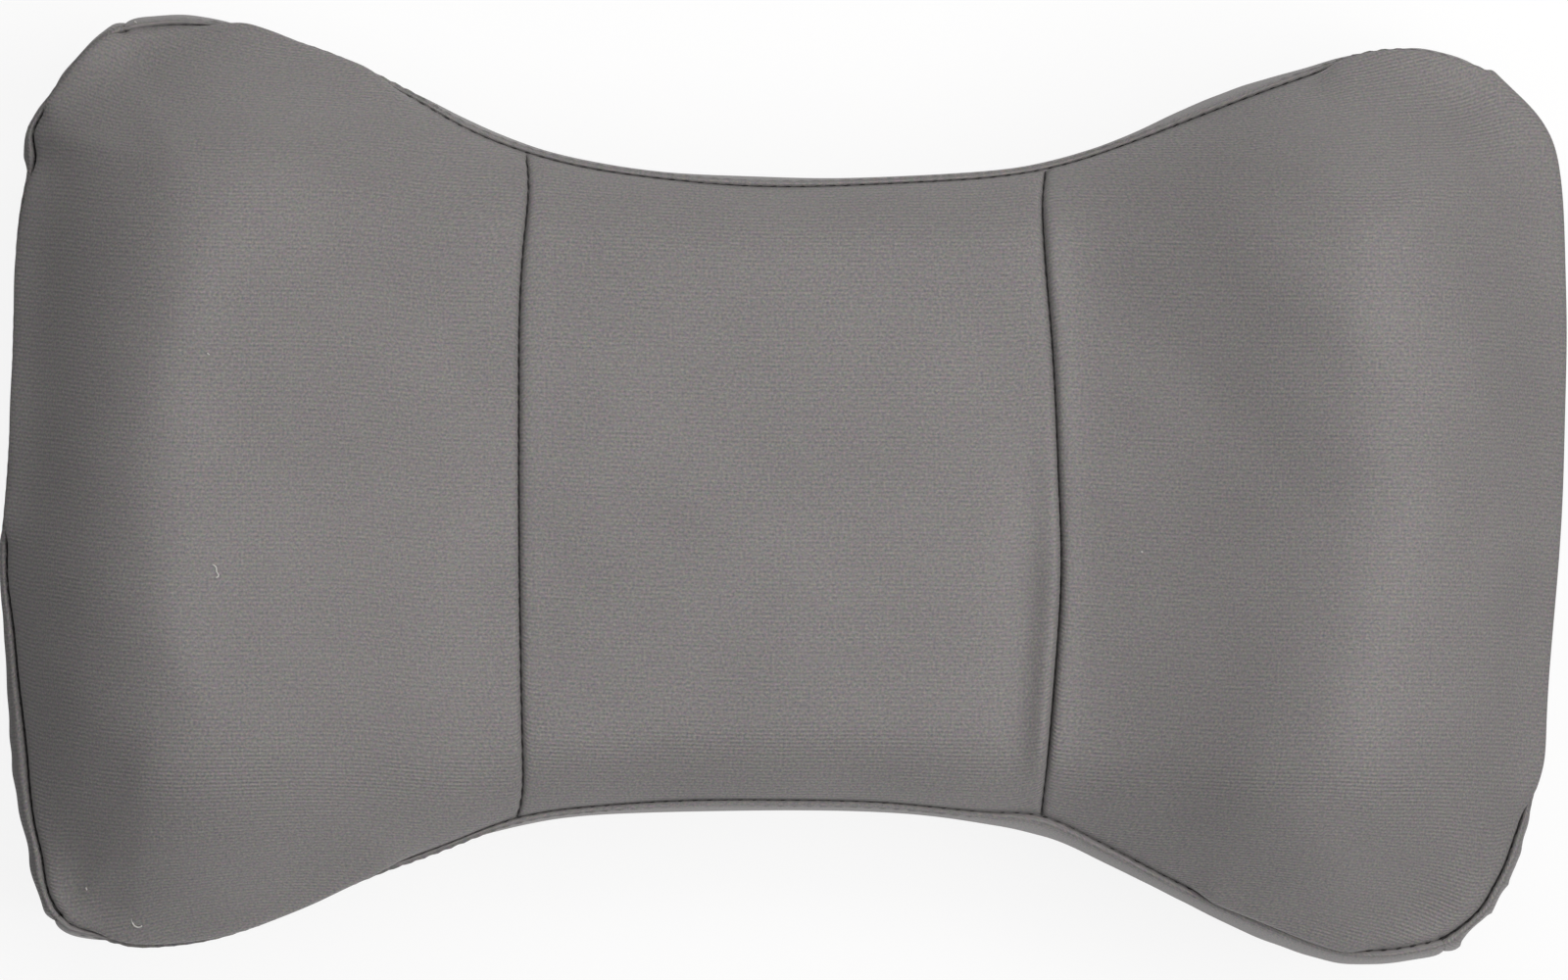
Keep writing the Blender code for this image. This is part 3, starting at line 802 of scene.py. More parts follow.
def place(name: str, mesh: bpy.types.Mesh, finish: Finish, stands_for: tuple[str, ...] = (),
          slot: str = "") -> bpy.types.Object:
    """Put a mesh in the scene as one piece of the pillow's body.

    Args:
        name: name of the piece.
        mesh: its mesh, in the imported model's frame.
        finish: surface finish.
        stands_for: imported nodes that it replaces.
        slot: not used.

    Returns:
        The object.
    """
    piece = bpy.data.objects.new(name, mesh)
    bpy.context.scene.collection.objects.link(piece)
    mesh.materials.append(finish.material())
    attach(piece, PILLOW_BODY)
    if stands_for:
        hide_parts(*stands_for)
    LOG.info("%s: %d faces", name, len(mesh.polygons))
    return piece


@dataclass(frozen=True)
class Edge:
    """One edge of the face: its seam, its outline and the runs where the face hangs over the seam.

    Both runs are shares of the seam's length. Along the hidden one the face hides the strip, and along the
    covered one it hides the stitches only.
    """

    side: Side
    seam: PlanPoints
    outline: PlanPoints
    hidden: tuple[float, float]
    covered: tuple[float, float] = (0.0, 0.0)


@dataclass(frozen=True)
class Fold:
    """A soft ridge, or a trough where the height is negative, along a plan line of one panel.

    The last two fields are the shares of the line over which it comes in and fades out.
    """

    points: PlanPoints
    height: float
    width: float
    start: float = 0.3
    end: float = 0.3


@dataclass
class SeamPlan:
    """Seams and outline of the pillow in plan, and the heights of its face, as sewn."""

    # The points of the edges and joins lie where a camera straight above sees them, at the sight level
    top: Edge = Edge(
        Side.TOP,
        ((-127.9, 85.1), (-121.5, 86.3), (-114.5, 86.6), (-105.5, 85.5), (-95.5, 83.0), (-86.0, 79.8),
         (-78.5, 76.4), (-71.8, 73.0), (-64.4, 68.9), (-50.8, 63.6), (-38.7, 60.8), (-26.9, 59.3),
         (-5.4, 58.0), (6.6, 58.3), (26.8, 59.6), (43.5, 61.4), (48.9, 62.5), (63.6, 67.3), (79.6, 73.8),
         (92.5, 79.0), (102.1, 82.6), (109.2, 85.0), (116.3, 85.9), (125.6, 84.6), (131.9, 82.0)),
        ((-128.4, 86.9), (-121.9, 88.0), (-114.4, 88.3), (-106.8, 87.6), (-99.3, 85.5), (-91.7, 82.6),
         (-84.2, 80.2), (-76.6, 76.7), (-69.0, 73.0), (-61.4, 69.4), (-53.8, 66.3), (-46.3, 63.9),
         (-38.7, 62.3), (-23.7, 60.4), (-8.7, 60.0), (6.3, 59.9), (21.3, 60.6), (36.3, 61.8), (43.8, 62.8),
         (51.3, 64.6), (58.7, 67.0), (66.2, 70.2), (73.6, 73.9), (81.0, 77.2), (88.5, 80.0), (96.0, 82.2),
         (103.4, 84.5), (110.9, 86.1), (118.4, 86.8), (125.9, 85.5), (132.5, 82.8)),
        (0.09, 0.17), (0.90, 1.0))
    bottom: Edge = Edge(
        Side.BOTTOM,
        ((-136.9, -84.4), (-134.9, -86.0), (-129.7, -87.5), (-124.2, -88.9), (-117.0, -88.9),
         (-110.6, -88.0), (-103.2, -86.0), (-95.7, -83.1), (-88.3, -79.7), (-77.3, -74.6), (-68.0, -71.0),
         (-60.2, -67.8), (-54.8, -65.5), (-49.8, -63.8), (-34.5, -61.2), (-17.6, -59.8), (2.5, -59.3),
         (22.5, -59.5), (42.7, -60.8), (50.7, -61.3), (56.8, -63.6), (69.7, -69.9), (81.4, -75.5),
         (95.8, -81.0), (108.8, -85.3), (115.4, -85.7), (127.6, -83.4)),
        ((-137.0, -86.5), (-133.2, -87.9), (-125.6, -89.2), (-118.1, -89.3), (-110.6, -88.5),
         (-103.2, -86.9), (-95.7, -84.1), (-88.3, -80.9), (-80.9, -77.2), (-73.4, -74.1), (-66.0, -71.3),
         (-58.5, -68.1), (-51.1, -65.9), (-43.6, -64.2), (-28.6, -62.6), (-13.6, -61.9), (1.4, -61.4),
         (16.4, -61.3), (31.4, -62.1), (38.9, -63.1), (46.5, -64.4), (54.0, -66.3), (61.6, -69.6),
         (69.2, -73.1), (76.8, -76.7), (84.3, -80.3), (91.9, -83.6), (99.5, -86.2), (107.0, -88.1),
         (114.5, -88.3), (122.0, -87.2), (127.8, -86.2)),
        (0.06, 0.22), (0.84, 0.93))
    left: Edge = Edge(
        Side.LEFT,
        ((-136.9, -84.4), (-139.2, -80.1), (-140.6, -73.1), (-141.7, -68.8), (-143.9, -53.0),
         (-146.0, -37.5), (-147.0, -28.9), (-148.3, -20.0), (-148.2, -10.0), (-147.4, 5.0), (-147.0, 26.8),
         (-146.8, 41.8), (-146.0, 52.0), (-145.0, 57.1), (-144.6, 61.3), (-145.1, 65.4), (-143.4, 68.8),
         (-140.9, 72.4), (-138.5, 75.8), (-136.1, 79.0), (-133.7, 81.5), (-131.5, 83.3), (-127.9, 85.1)),
        ((-137.0, -86.5), (-139.1, -83.3), (-141.5, -78.1), (-143.1, -70.6), (-145.0, -63.2),
         (-147.0, -48.2), (-148.0, -33.2), (-149.3, -18.2), (-149.6, -11.7), (-148.8, -3.2),
         (-148.6, 11.8), (-148.2, 26.8), (-148.1, 41.8), (-147.1, 49.4), (-146.2, 56.9), (-146.1, 64.8),
         (-141.8, 72.0), (-136.9, 79.4), (-131.5, 84.4), (-128.4, 86.9)),
        (0.44, 0.78), (0.89, 0.98))
    right: Edge = Edge(
        Side.RIGHT,
        ((127.6, -83.4), (132.2, -80.1), (135.3, -76.8), (137.3, -73.2), (139.1, -69.6), (140.9, -64.5),
         (142.6, -59.0), (144.0, -52.0), (145.2, -42.0), (146.2, -27.0), (147.2, -5.0), (147.6, 18.0),
         (147.3, 35.0), (146.8, 48.0), (145.6, 61.0), (143.6, 69.0), (140.8, 74.0), (137.0, 78.6),
         (131.9, 82.0)),
        ((127.8, -86.2), (130.2, -85.0), (132.8, -82.5), (133.7, -80.1), (135.6, -78.9), (137.9, -75.3),
         (140.1, -72.1), (140.8, -69.0), (141.9, -66.6), (142.7, -62.8), (144.3, -57.3), (146.6, -49.8),
         (147.0, -42.1), (147.6, -27.0), (148.6, -12.0), (149.2, 3.0), (149.3, 18.0), (149.3, 33.1),
         (148.7, 48.1), (147.6, 63.0), (145.7, 70.5), (143.2, 74.6), (138.4, 79.2), (132.5, 82.8)),
        (0.20, 0.97))
    left_join: PlanPoints = (
        (-49.8, -63.8), (-49.1, -60.8), (-48.8, -51.0), (-49.6, -30.8), (-50.6, 2.6), (-50.9, 16.7),
        (-50.6, 45.9), (-50.1, 58.0), (-50.8, 63.6))
    right_join: PlanPoints = (
        (50.6, -61.3), (51.4, -47.1), (52.6, -27.5), (53.0, -13.0), (52.3, 1.6), (50.4, 30.1), (49.5, 38.7),
        (48.5, 49.3), (48.3, 57.5), (48.9, 62.5))

    # Heights above the resting plane
    hollow_height: float = 66.0
    hollow_seam: float = 54.5
    lobe_seam: float = 62.0
    back_seam: float = 7.0
    crown_drop: float = 1.5
    drop_reach: float = 60.0

    # Run of the slope from the hollow to a lobe's crest
    hollow_run: float = 50.0
    crest_run: float = 106.0
    # Halfway up its width a lobe rises over a longer run
    middle_run: float = 18.0
    middle_half: float = 62.0

    # Widths of the domed edges of the face, and the radius of the back's edge
    lobe_roll: float = 46.0
    hollow_roll: float = 17.0
    end_roll: float = 43.0
    back_roll: float = 8.0

    # Shares of a seam's length over which the face begins and ends to hang over it
    hang_ease: float = 0.05
    cover_ease: float = 0.03

    # From this far above the sight level, what lies lower looks smaller and what lies higher looks larger
    camera_distance: float = 2000.0
    sight_level: float = 52.0
    strip_level: float = 38.0
    face_level: float = 68.0

    def __post_init__(self) -> None:
        """Fit the lines, and read the lobes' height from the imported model."""
        self.lobe_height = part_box("front_panel_left")[1].z / MM
        self.seams: dict[Side, Line] = {}
        self.strip_outlines: dict[Side, Line] = {}
        self.face_outlines: dict[Side, Line] = {}
        self.edges: dict[Side, Edge] = {}
        for edge in (self.top, self.bottom, self.left, self.right):
            self.edges[edge.side] = edge
            self.seams[edge.side] = Line(self.brought_down(edge.seam), edge.side.outwards)
            levels = ((self.strip_level, self.strip_outlines), (self.face_level, self.face_outlines))
            for level, outlines in levels:
                parallax = 1.0 + (self.sight_level - level) / self.camera_distance
                seen = tuple((x * parallax, y * parallax) for x, y in edge.outline)
                outlines[edge.side] = Line(seen, edge.side.outwards)
        self.joins = (Line(self.brought_down(self.left_join)), Line(self.brought_down(self.right_join)))

    def brought_down(self, seen: PlanPoints) -> PlanPoints:
        """Place seam points as seen by the camera at the height of the seam round the face.

        Args:
            seen: points as they show at the sight level.

        Returns:
            The same points in true plan.
        """
        shrunk = []
        for x, y in seen:
            share = 1.0 + (self.sight_level - float(self.seam_height(np.array(x)))) / self.camera_distance
            shrunk.append((x * share, y * share))
        return tuple(shrunk)

    def lobe_share(self, x: np.ndarray) -> np.ndarray:
        """0 in the hollow, 1 on a lobe's crest."""
        return smoothstep((np.abs(x) - self.hollow_run) / (self.crest_run - self.hollow_run))

    def crown(self, x: np.ndarray, y: np.ndarray) -> np.ndarray:
        """Height of the face away from its seams.

        Args:
            x: plan length.
            y: plan width.

        Returns:
            Height above the resting plane.
        """
        longer = self.middle_run * np.clip(1.0 - (y / self.middle_half) ** 2, 0.0, 1.0) ** 2
        share = smoothstep((np.abs(x) - self.hollow_run) / (self.crest_run + longer - self.hollow_run))
        return blend(self.hollow_height, self.lobe_height, share)

    def bow(self, side_gap: np.ndarray) -> np.ndarray:
        """How far the face has dropped from its crown, at a distance from the long seams."""
        return self.crown_drop * np.clip(1.0 - side_gap / self.drop_reach, 0.0, 1.0) ** 2

    def seam_height(self, x: np.ndarray) -> np.ndarray:
        """Height of the seam round the face."""
        return blend(self.hollow_seam, self.lobe_seam, self.lobe_share(x))

    def edge_gaps(self, flat: np.ndarray) -> tuple[np.ndarray, np.ndarray]:
        """Measure how far plan points lie from the seams round the face.

        Args:
            flat: plan grid in millimetres.

        Returns:
            Distance from the nearer long seam, and from the nearer end seam.
        """
        gaps = {side: line.nearest(flat)[0] for side, line in self.seams.items()}
        return np.minimum(gaps[Side.TOP], gaps[Side.BOTTOM]), np.minimum(gaps[Side.LEFT], gaps[Side.RIGHT])

    def side_roll(self, x: np.ndarray) -> np.ndarray:
        """Width of the domed edge along the long sides."""
        return blend(self.hollow_roll, self.lobe_roll, self.lobe_share(x))

    def hanging(self, side: Side, share: np.ndarray) -> np.ndarray:
        """1 where the face hangs over its seam, 0 where the seam shows."""
        start, end = self.edges[side].hidden
        return window(share, start, end, self.hang_ease)

    def covering(self, side: Side, share: np.ndarray) -> np.ndarray:
        """1 where the face covers only the stitches of its seam."""
        start, end = self.edges[side].covered
        return window(share, start, end, self.cover_ease) if end > start else np.zeros_like(share)


@dataclass
class Stitch:
    """Lockstitch along a seam: its pitch, its thread and how the cloth gathers to it."""

    pitch: float = 2.8
    shown: float = 0.80
    thread: float = 0.15
    dip: float = 0.4
    slant: float = 0.15
    rings: int = 7
    # Radius at a stitch's ends, as a share of the thread's, and unevenness along the seam and in height
    taper: float = 0.75
    run_wobble: float = 0.08
    rise_wobble: float = 0.03

    # How far the cloth is drawn down along a seam between two holes and at a hole, and how soon that fades
    long_groove: float = 1.1
    end_groove: float = 1.8
    hole: float = 0.5
    reach: float = 0.5

    def pinch(self, run: np.ndarray) -> np.ndarray:
        """1 at each needle hole along a seam, 0 between two holes."""
        return (0.5 + 0.5 * np.cos(TURN * run / self.pitch)) ** 2

    def draw(self, side: Side, run: np.ndarray, arc: np.ndarray) -> np.ndarray:
        """How far the cloth is drawn down.

        Args:
            side: edge of the face that the seam runs along.
            run: length along the seam.
            arc: distance from it over the cloth.

        Returns:
            Depth of the groove, in millimetres.
        """
        groove = self.long_groove if side.is_long else self.end_groove
        return (groove + self.hole * self.pinch(run)) * np.exp(-arc / self.reach)

    def sew(self, mesh: Mesh, path: np.ndarray, wobble: np.random.Generator, outwards: float = 1.0) -> None:
        """Add the thread of a seam, one bent tube for each stitch.

        Args:
            mesh: mesh that takes the tubes.
            path: points along the seam, in millimetres.
            wobble: seeded source of small unevenness.
            outwards: 1 where the cloth faces up, -1 where it faces down.
        """
        run = run_along(path)
        for stitch in range(int(run[-1] / self.pitch)):
            start = (stitch + 0.5 * (1.0 - self.shown)) * self.pitch + wobble.normal(0.0, self.run_wobble)
            at = np.linspace(start, start + self.shown * self.pitch, self.rings)
            bent = np.stack([np.interp(at, run, path[:, axis]) for axis in range(3)], axis=1)
            arch = np.sin(np.linspace(0.0, math.pi, self.rings))
            bent[:, 2] += outwards * (self.dip * (arch - 1.0) + wobble.normal(0.0, self.rise_wobble))
            along = (bent[-1] - bent[0])[:2]
            across = np.array([-along[1], along[0]]) / max(float(np.linalg.norm(along)), TINY)
            bent[:, :2] += across * np.linspace(-self.slant, self.slant, self.rings)[:, None]
            mesh.add_tube(bent, self.thread * (self.taper + (1.0 - self.taper) * arch))


@dataclass
class FrontCover:
    """The three face panels of the cover."""

    plan: SeamPlan
    stitch: Stitch
    thickness: float = 1.1
    rows: int = 190
    lobe_columns: int = 160
    centre_columns: int = 130

    # Where the face hangs over its seam, it stands out furthest this far inside the seam
    lean_at: float = 1.3
    # How far it leans out where it only covers the stitches
    cover_lean: float = 1.8
    # Distances from the edge seams over which folds and waves come in, and over which the seams' draw fades
    fold_fade: float = 5.0
    draw_fade: float = 6.0
    outline_stations: int = 400

    # Grooves of the two seams across the face
    join_groove: tuple[float, float] = (1.9, 2.7)
    join_reach: float = 0.45
    join_hollow: tuple[float, float] = (0.15, 0.1)
    join_hollow_reach: float = 2.5
    join_pinch: float = 0.4
    join_pinch_reach: float = 1.4
    join_ease: float = 0.8

    # Slow waves of stretched cloth: how many, their least length, its spread and their height
    wave_count: int = 7
    wave_length: float = 16.0
    wave_spread: float = 30.0
    wave_height: float = 0.05

    left_folds: tuple[Fold, ...] = (
        Fold(((-118.0, 60.0), (-112.0, 20.0), (-108.0, -20.0)), 0.5, 16.0),
        Fold(((-92.0, -66.0), (-78.0, -40.0)), -0.5, 12.0),
    )
    centre_folds: tuple[Fold, ...] = (
        Fold(((49.0, 44.0), (50.4, 20.0), (51.8, -13.0), (51.2, -32.0), (50.6, -46.0), (49.8, -60.0)),
             2.4, 3.0, 0.85, 0.15),
        Fold(((44.4, 20.0), (45.4, -8.0), (45.2, -30.0), (43.8, -58.0)), -0.8, 4.0, 0.5, 0.2),
        Fold(((-47.5, 55.0), (-48.0, 10.0), (-46.8, -50.0)), 0.25, 2.2),
    )
    right_folds: tuple[Fold, ...] = (
        Fold(((49.6, 60.0), (51.4, 36.0), (53.6, 2.0), (54.2, -14.0), (53.2, -42.0), (51.8, -60.0)),
             0.5, 2.4, 0.1, 0.15),
        Fold(((115.5, 78.0), (112.5, 55.0), (112.0, 32.0)), -0.3, 3.0),
        Fold(((79.0, 66.0), (82.0, 30.0), (84.0, -10.0), (80.0, -60.0)), -0.6, 12.0),
        Fold(((74.0, -50.0), (84.0, -68.0), (96.0, -78.0)), -1.0, 9.0),
    )

    def __post_init__(self) -> None:
        """Start with no panels, and choose the slow waves."""
        self.grids: dict[str, np.ndarray] = {}
        draws = np.random.default_rng(SEED).uniform(size=(self.wave_count, 3))
        self.waves = [(TURN / (self.wave_length + self.wave_spread * length), TURN * heading, TURN * phase)
                      for length, heading, phase in draws]

    def tension(self, x: np.ndarray, y: np.ndarray) -> np.ndarray:
        """Work out the slow unevenness of stretched cloth, a fraction of a millimetre.

        Args:
            x: plan length.
            y: plan width.

        Returns:
            Height to add.
        """
        total = np.zeros_like(x)
        for wave, heading, phase in self.waves:
            total += np.sin(wave * (x * math.cos(heading) + y * math.sin(heading)) + phase)
        return self.wave_height * total

    def height(self, flat: np.ndarray, folds: tuple[Fold, ...], near: Nearness) -> np.ndarray:
        """Work out how high the points of a panel lie.

        Args:
            flat: plan grid in millimetres.
            folds: soft folds of the panel.
            near: distance from each edge seam, and share of its length.

        Returns:
            Height above the resting plane.
        """
        plan = self.plan
        x, y = flat[..., 0], flat[..., 1]
        side_gap = np.minimum(near[Side.TOP][0], near[Side.BOTTOM][0])
        end_gap = np.where(x > 0.0, near[Side.RIGHT][0], near[Side.LEFT][0])
        edge_gap = np.minimum(side_gap, end_gap)
        seam = plan.seam_height(x)
        crown = domed(side_gap, plan.side_roll(x)) * domed(end_gap, plan.end_roll)
        height = seam + (plan.crown(x, y) - plan.bow(side_gap) - seam) * crown
        settled = 1.0 - np.exp(-(edge_gap / self.fold_fade) ** 2)
        height += self.tension(x, y) * settled
        for fold in folds:
            gap, share = Line(fold.points).nearest(flat)
            envelope = smoothstep(share / fold.start) * smoothstep((1.0 - share) / fold.end)
            height += fold.height * np.exp(-(gap / fold.width) ** 2) * envelope * settled
        for join, groove, hollow in zip(plan.joins, self.join_groove, self.join_hollow):
            gap, share = join.nearest(flat)
            pinch = self.join_pinch * self.stitch.pinch(share * join.length)
            depth = (groove * np.exp(-gap / self.join_reach)
                     + hollow * np.exp(-(gap / self.join_hollow_reach) ** 2)
                     + pinch * np.exp(-gap / self.join_pinch_reach))
            height -= depth * (1.0 - np.exp(-edge_gap / self.join_ease))
        return height

    def shape(self, flat: np.ndarray, folds: tuple[Fold, ...]) -> np.ndarray:
        """Raise a panel's plan grid to its sewn and filled form.

        Args:
            flat: plan grid in millimetres.
            folds: soft folds of the panel.

        Returns:
            Grid of points in space.
        """
        plan = self.plan
        near = {side: line.nearest(flat) for side, line in plan.seams.items()}
        height = self.height(flat, folds, near)
        seam = plan.seam_height(flat[..., 0])
        upper, right = near[Side.TOP][0] < near[Side.BOTTOM][0], flat[..., 0] > 0.0
        mine = {Side.TOP: upper, Side.BOTTOM: ~upper, Side.LEFT: ~right, Side.RIGHT: right}
        shaped = lifted(flat, height)
        stations = np.linspace(0.0, 1.0, self.outline_stations)
        for side, line in plan.seams.items():
            gap, share = near[side]
            over = np.interp(share, stations, line.gap_to(plan.face_outlines[side], stations))
            over = np.maximum(over + self.lean_at, 0.0)
            hanging, covering = plan.hanging(side, share), plan.covering(side, share)
            lean = over * hanging + self.cover_lean * covering * (1.0 - hanging)
            rise = gap / self.lean_at
            lean = lean * rise * np.exp(1.0 - rise) * mine[side]
            shaped[..., :2] += line.normal(share) * lean[..., None]
            draw = self.stitch.draw(side, share * line.length, np.hypot(height - seam, gap))
            shaped[..., 2] -= draw * np.exp(-gap / self.draw_fade) * mine[side]
        return shaped

    def panel(self, low: Line, high: Line, spans: tuple[tuple[float, float], tuple[float, float]],
              left: Line, right: Line, across: np.ndarray) -> np.ndarray:
        """Plan grid of one panel between its four seams.

        Args:
            low: bottom seam.
            high: top seam.
            spans: shares of the bottom and of the top seam that the panel takes.
            left: seam or join on its left.
            right: seam or join on its right.
            across: share of each column.

        Returns:
            Grid of plan points.
        """
        up = packed(self.rows, roll_start=0.9, roll_end=0.9)
        (low_from, low_to), (high_from, high_to) = spans
        return patch(low.at(blend(low_from, low_to, across)), high.at(blend(high_from, high_to, across)),
                     left.at(up), right.at(up), across, up)

    def build(self) -> None:
        """Make the three panels."""
        plan = self.plan
        low, high = plan.seams[Side.BOTTOM], plan.seams[Side.TOP]
        left_join, right_join = plan.joins
        low_cuts = [low.share_at(join.points[0, 0], 0) for join in plan.joins]
        high_cuts = [high.share_at(join.points[-1, 0], 0) for join in plan.joins]
        lobe_left = packed(self.lobe_columns, roll_start=0.7, fine_end=0.35)
        lobe_right = packed(self.lobe_columns, roll_end=0.7, fine_start=0.35)
        middle = packed(self.centre_columns, fine_start=0.28, fine_end=0.28)
        panels = {
            "left": ((0.0, low_cuts[0]), (0.0, high_cuts[0]), plan.seams[Side.LEFT], left_join, lobe_left,
                     self.left_folds),
            "centre": (tuple(low_cuts), tuple(high_cuts), left_join, right_join, middle, self.centre_folds),
            "right": ((low_cuts[1], 1.0), (high_cuts[1], 1.0), right_join, plan.seams[Side.RIGHT], lobe_right,
                      self.right_folds),
        }
        for word, (low_span, high_span, left, right, across, folds) in panels.items():
            grid = self.shape(self.panel(low, high, (low_span, high_span), left, right, across), folds)
            self.grids[word] = grid
            mesh = Mesh()
            mesh.add_shell(grid, self.thickness)
            piece = place(f"face_panel_{word}", mesh.build(f"face_panel_{word}"), FACE_KNIT,
                          stands_for=(f"front_panel_{word}",), slot="face_knit")

    def on_face(self, x: float, y: float) -> np.ndarray:
        """Point of the face nearest to a plan place.

        Args:
            x: plan length.
            y: plan width.

        Returns:
            The point, in millimetres.
        """
        every = np.concatenate([grid.reshape(-1, 3) for grid in self.grids.values()])
        return every[np.argmin(np.hypot(every[:, 0] - x, every[:, 1] - y))]


@dataclass
class BoxingStrips:
    """The four strips between the face and the back, and the gathers at their ends."""

    plan: SeamPlan
    stitch: Stitch
    thickness: float = 1.1
    rows: int = 56
    column_step: float = 0.8
    fullness: float = 0.34
    tuck: float = 1.1
    least: float = 0.3
    gather_pitch: float = 8.5
    long_gathers: float = 0.1
    end_gathers: float = 0.3
    gather_reach: float = 30.0
    gather_rise: float = 4.0
    # The gathers come early or late by this many radians, in waves of this length
    sway: float = 0.8
    sway_reach: float = 5.0

    # Where two strips meet: the length over which they turn, the seam's groove and the roll beside it
    corner_reach: float = 4.5
    joint_depth: float = 0.8
    joint_reach: float = 0.9
    joint_roll: float = 0.3
    roll_at: float = 2.2
    roll_width: float = 1.3

    def corner(self, side: Side, far: bool) -> tuple[np.ndarray, float]:
        """Settle how two strips meet at a corner of the face.

        Args:
            side: edge whose strip is made.
            far: whether the corner is at the edge's end, not at its start.

        Returns:
            Direction and amount of the push that both strips share there.
        """
        plan, end = self.plan, np.array([1.0 if far else 0.0])
        if side.is_long:
            other = Side.RIGHT if far else Side.LEFT
            other_end = np.array([1.0 if side is Side.TOP else 0.0])
        else:
            other = Side.TOP if far else Side.BOTTOM
            other_end = np.array([0.0 if side is Side.LEFT else 1.0])
        both = ((side, end), (other, other_end))
        heading = sum(plan.seams[edge].normal(share)[0] for edge, share in both)
        amount = sum(float(self.bulge(edge, share)[0]) for edge, share in both) / 2
        return heading / np.linalg.norm(heading), amount

    def bulge(self, side: Side, share: np.ndarray) -> np.ndarray:
        """How far a strip stands out beyond its seam, from the outline that it makes."""
        gap = self.plan.seams[side].gap_to(self.plan.strip_outlines[side], share)
        return np.maximum(gap - self.tuck * self.plan.hanging(side, share), self.least)

    def shape(self, side: Side) -> np.ndarray:
        """Form of one strip: rows from the back seam up to the face's seam.

        Args:
            side: edge of the face that the strip runs along.

        Returns:
            Grid of points in space.
        """
        plan, line = self.plan, self.plan.seams[side]
        share = packed(int(line.length / self.column_step), fine_start=0.05, fine_end=0.05)
        drop = packed(self.rows, roll_start=1.3, roll_end=0.9)
        seam, out, bulge = line.at(share), line.normal(share), self.bulge(side, share)
        run = share * line.length
        for far, length in ((False, run), (True, line.length - run)):
            heading, amount = self.corner(side, far)
            near = np.exp(-(length / self.corner_reach) ** 2)
            out = blend(out, heading[None], near[:, None])
            bulge = blend(bulge, amount, near)
        out /= np.linalg.norm(out, axis=1)[:, None]
        top = plan.seam_height(seam[:, 0])
        height = top[None, :] + (plan.back_seam - top)[None, :] * drop[:, None]
        end = np.minimum(run, line.length - run)
        reach = np.minimum(drop, 1.0 - drop)[:, None] * (top - plan.back_seam)[None, :]
        full = (4.0 * drop * (1.0 - drop)) ** self.fullness
        phase = TURN * run / self.gather_pitch + self.sway * np.sin(run / self.sway_reach)
        gathers = (np.sin(phase) * np.exp(-end / self.gather_reach) * (1.0 - np.exp(-end / self.gather_rise))
                   * (self.long_gathers if side.is_long else self.end_gathers))
        bulge = bulge + gathers - self.joint_depth * np.exp(-end / self.joint_reach)
        if not side.is_long:
            bulge = bulge + self.joint_roll * np.exp(-((end - self.roll_at) / self.roll_width) ** 2)
        push = bulge[None, :] * full[:, None]
        draw = self.stitch.draw(side, run[None, :], np.hypot(reach, push))
        points = np.empty((self.rows, len(share), 3))
        points[..., :2] = seam[None] + out[None] * push[..., None]
        points[..., 2] = height - draw * np.where(drop[:, None] < 0.5, 1.0, -1.0)
        return points if side in (Side.TOP, Side.LEFT) else points[:, ::-1]

    def build(self) -> None:
        """Make the four strips."""
        names = {Side.TOP: "top_gusset", Side.BOTTOM: "bottom_gusset", Side.LEFT: "left_end_gusset",
                 Side.RIGHT: "right_end_gusset"}
        for side, node in names.items():
            mesh = Mesh()
            mesh.add_shell(self.shape(side), self.thickness)
            word = node.replace("gusset", "strip")
            finish = LONG_STRIP_KNIT if side.is_long else END_STRIP_KNIT
            piece = place(word, mesh.build(word), finish, stands_for=(node,), slot="gusset_knit")


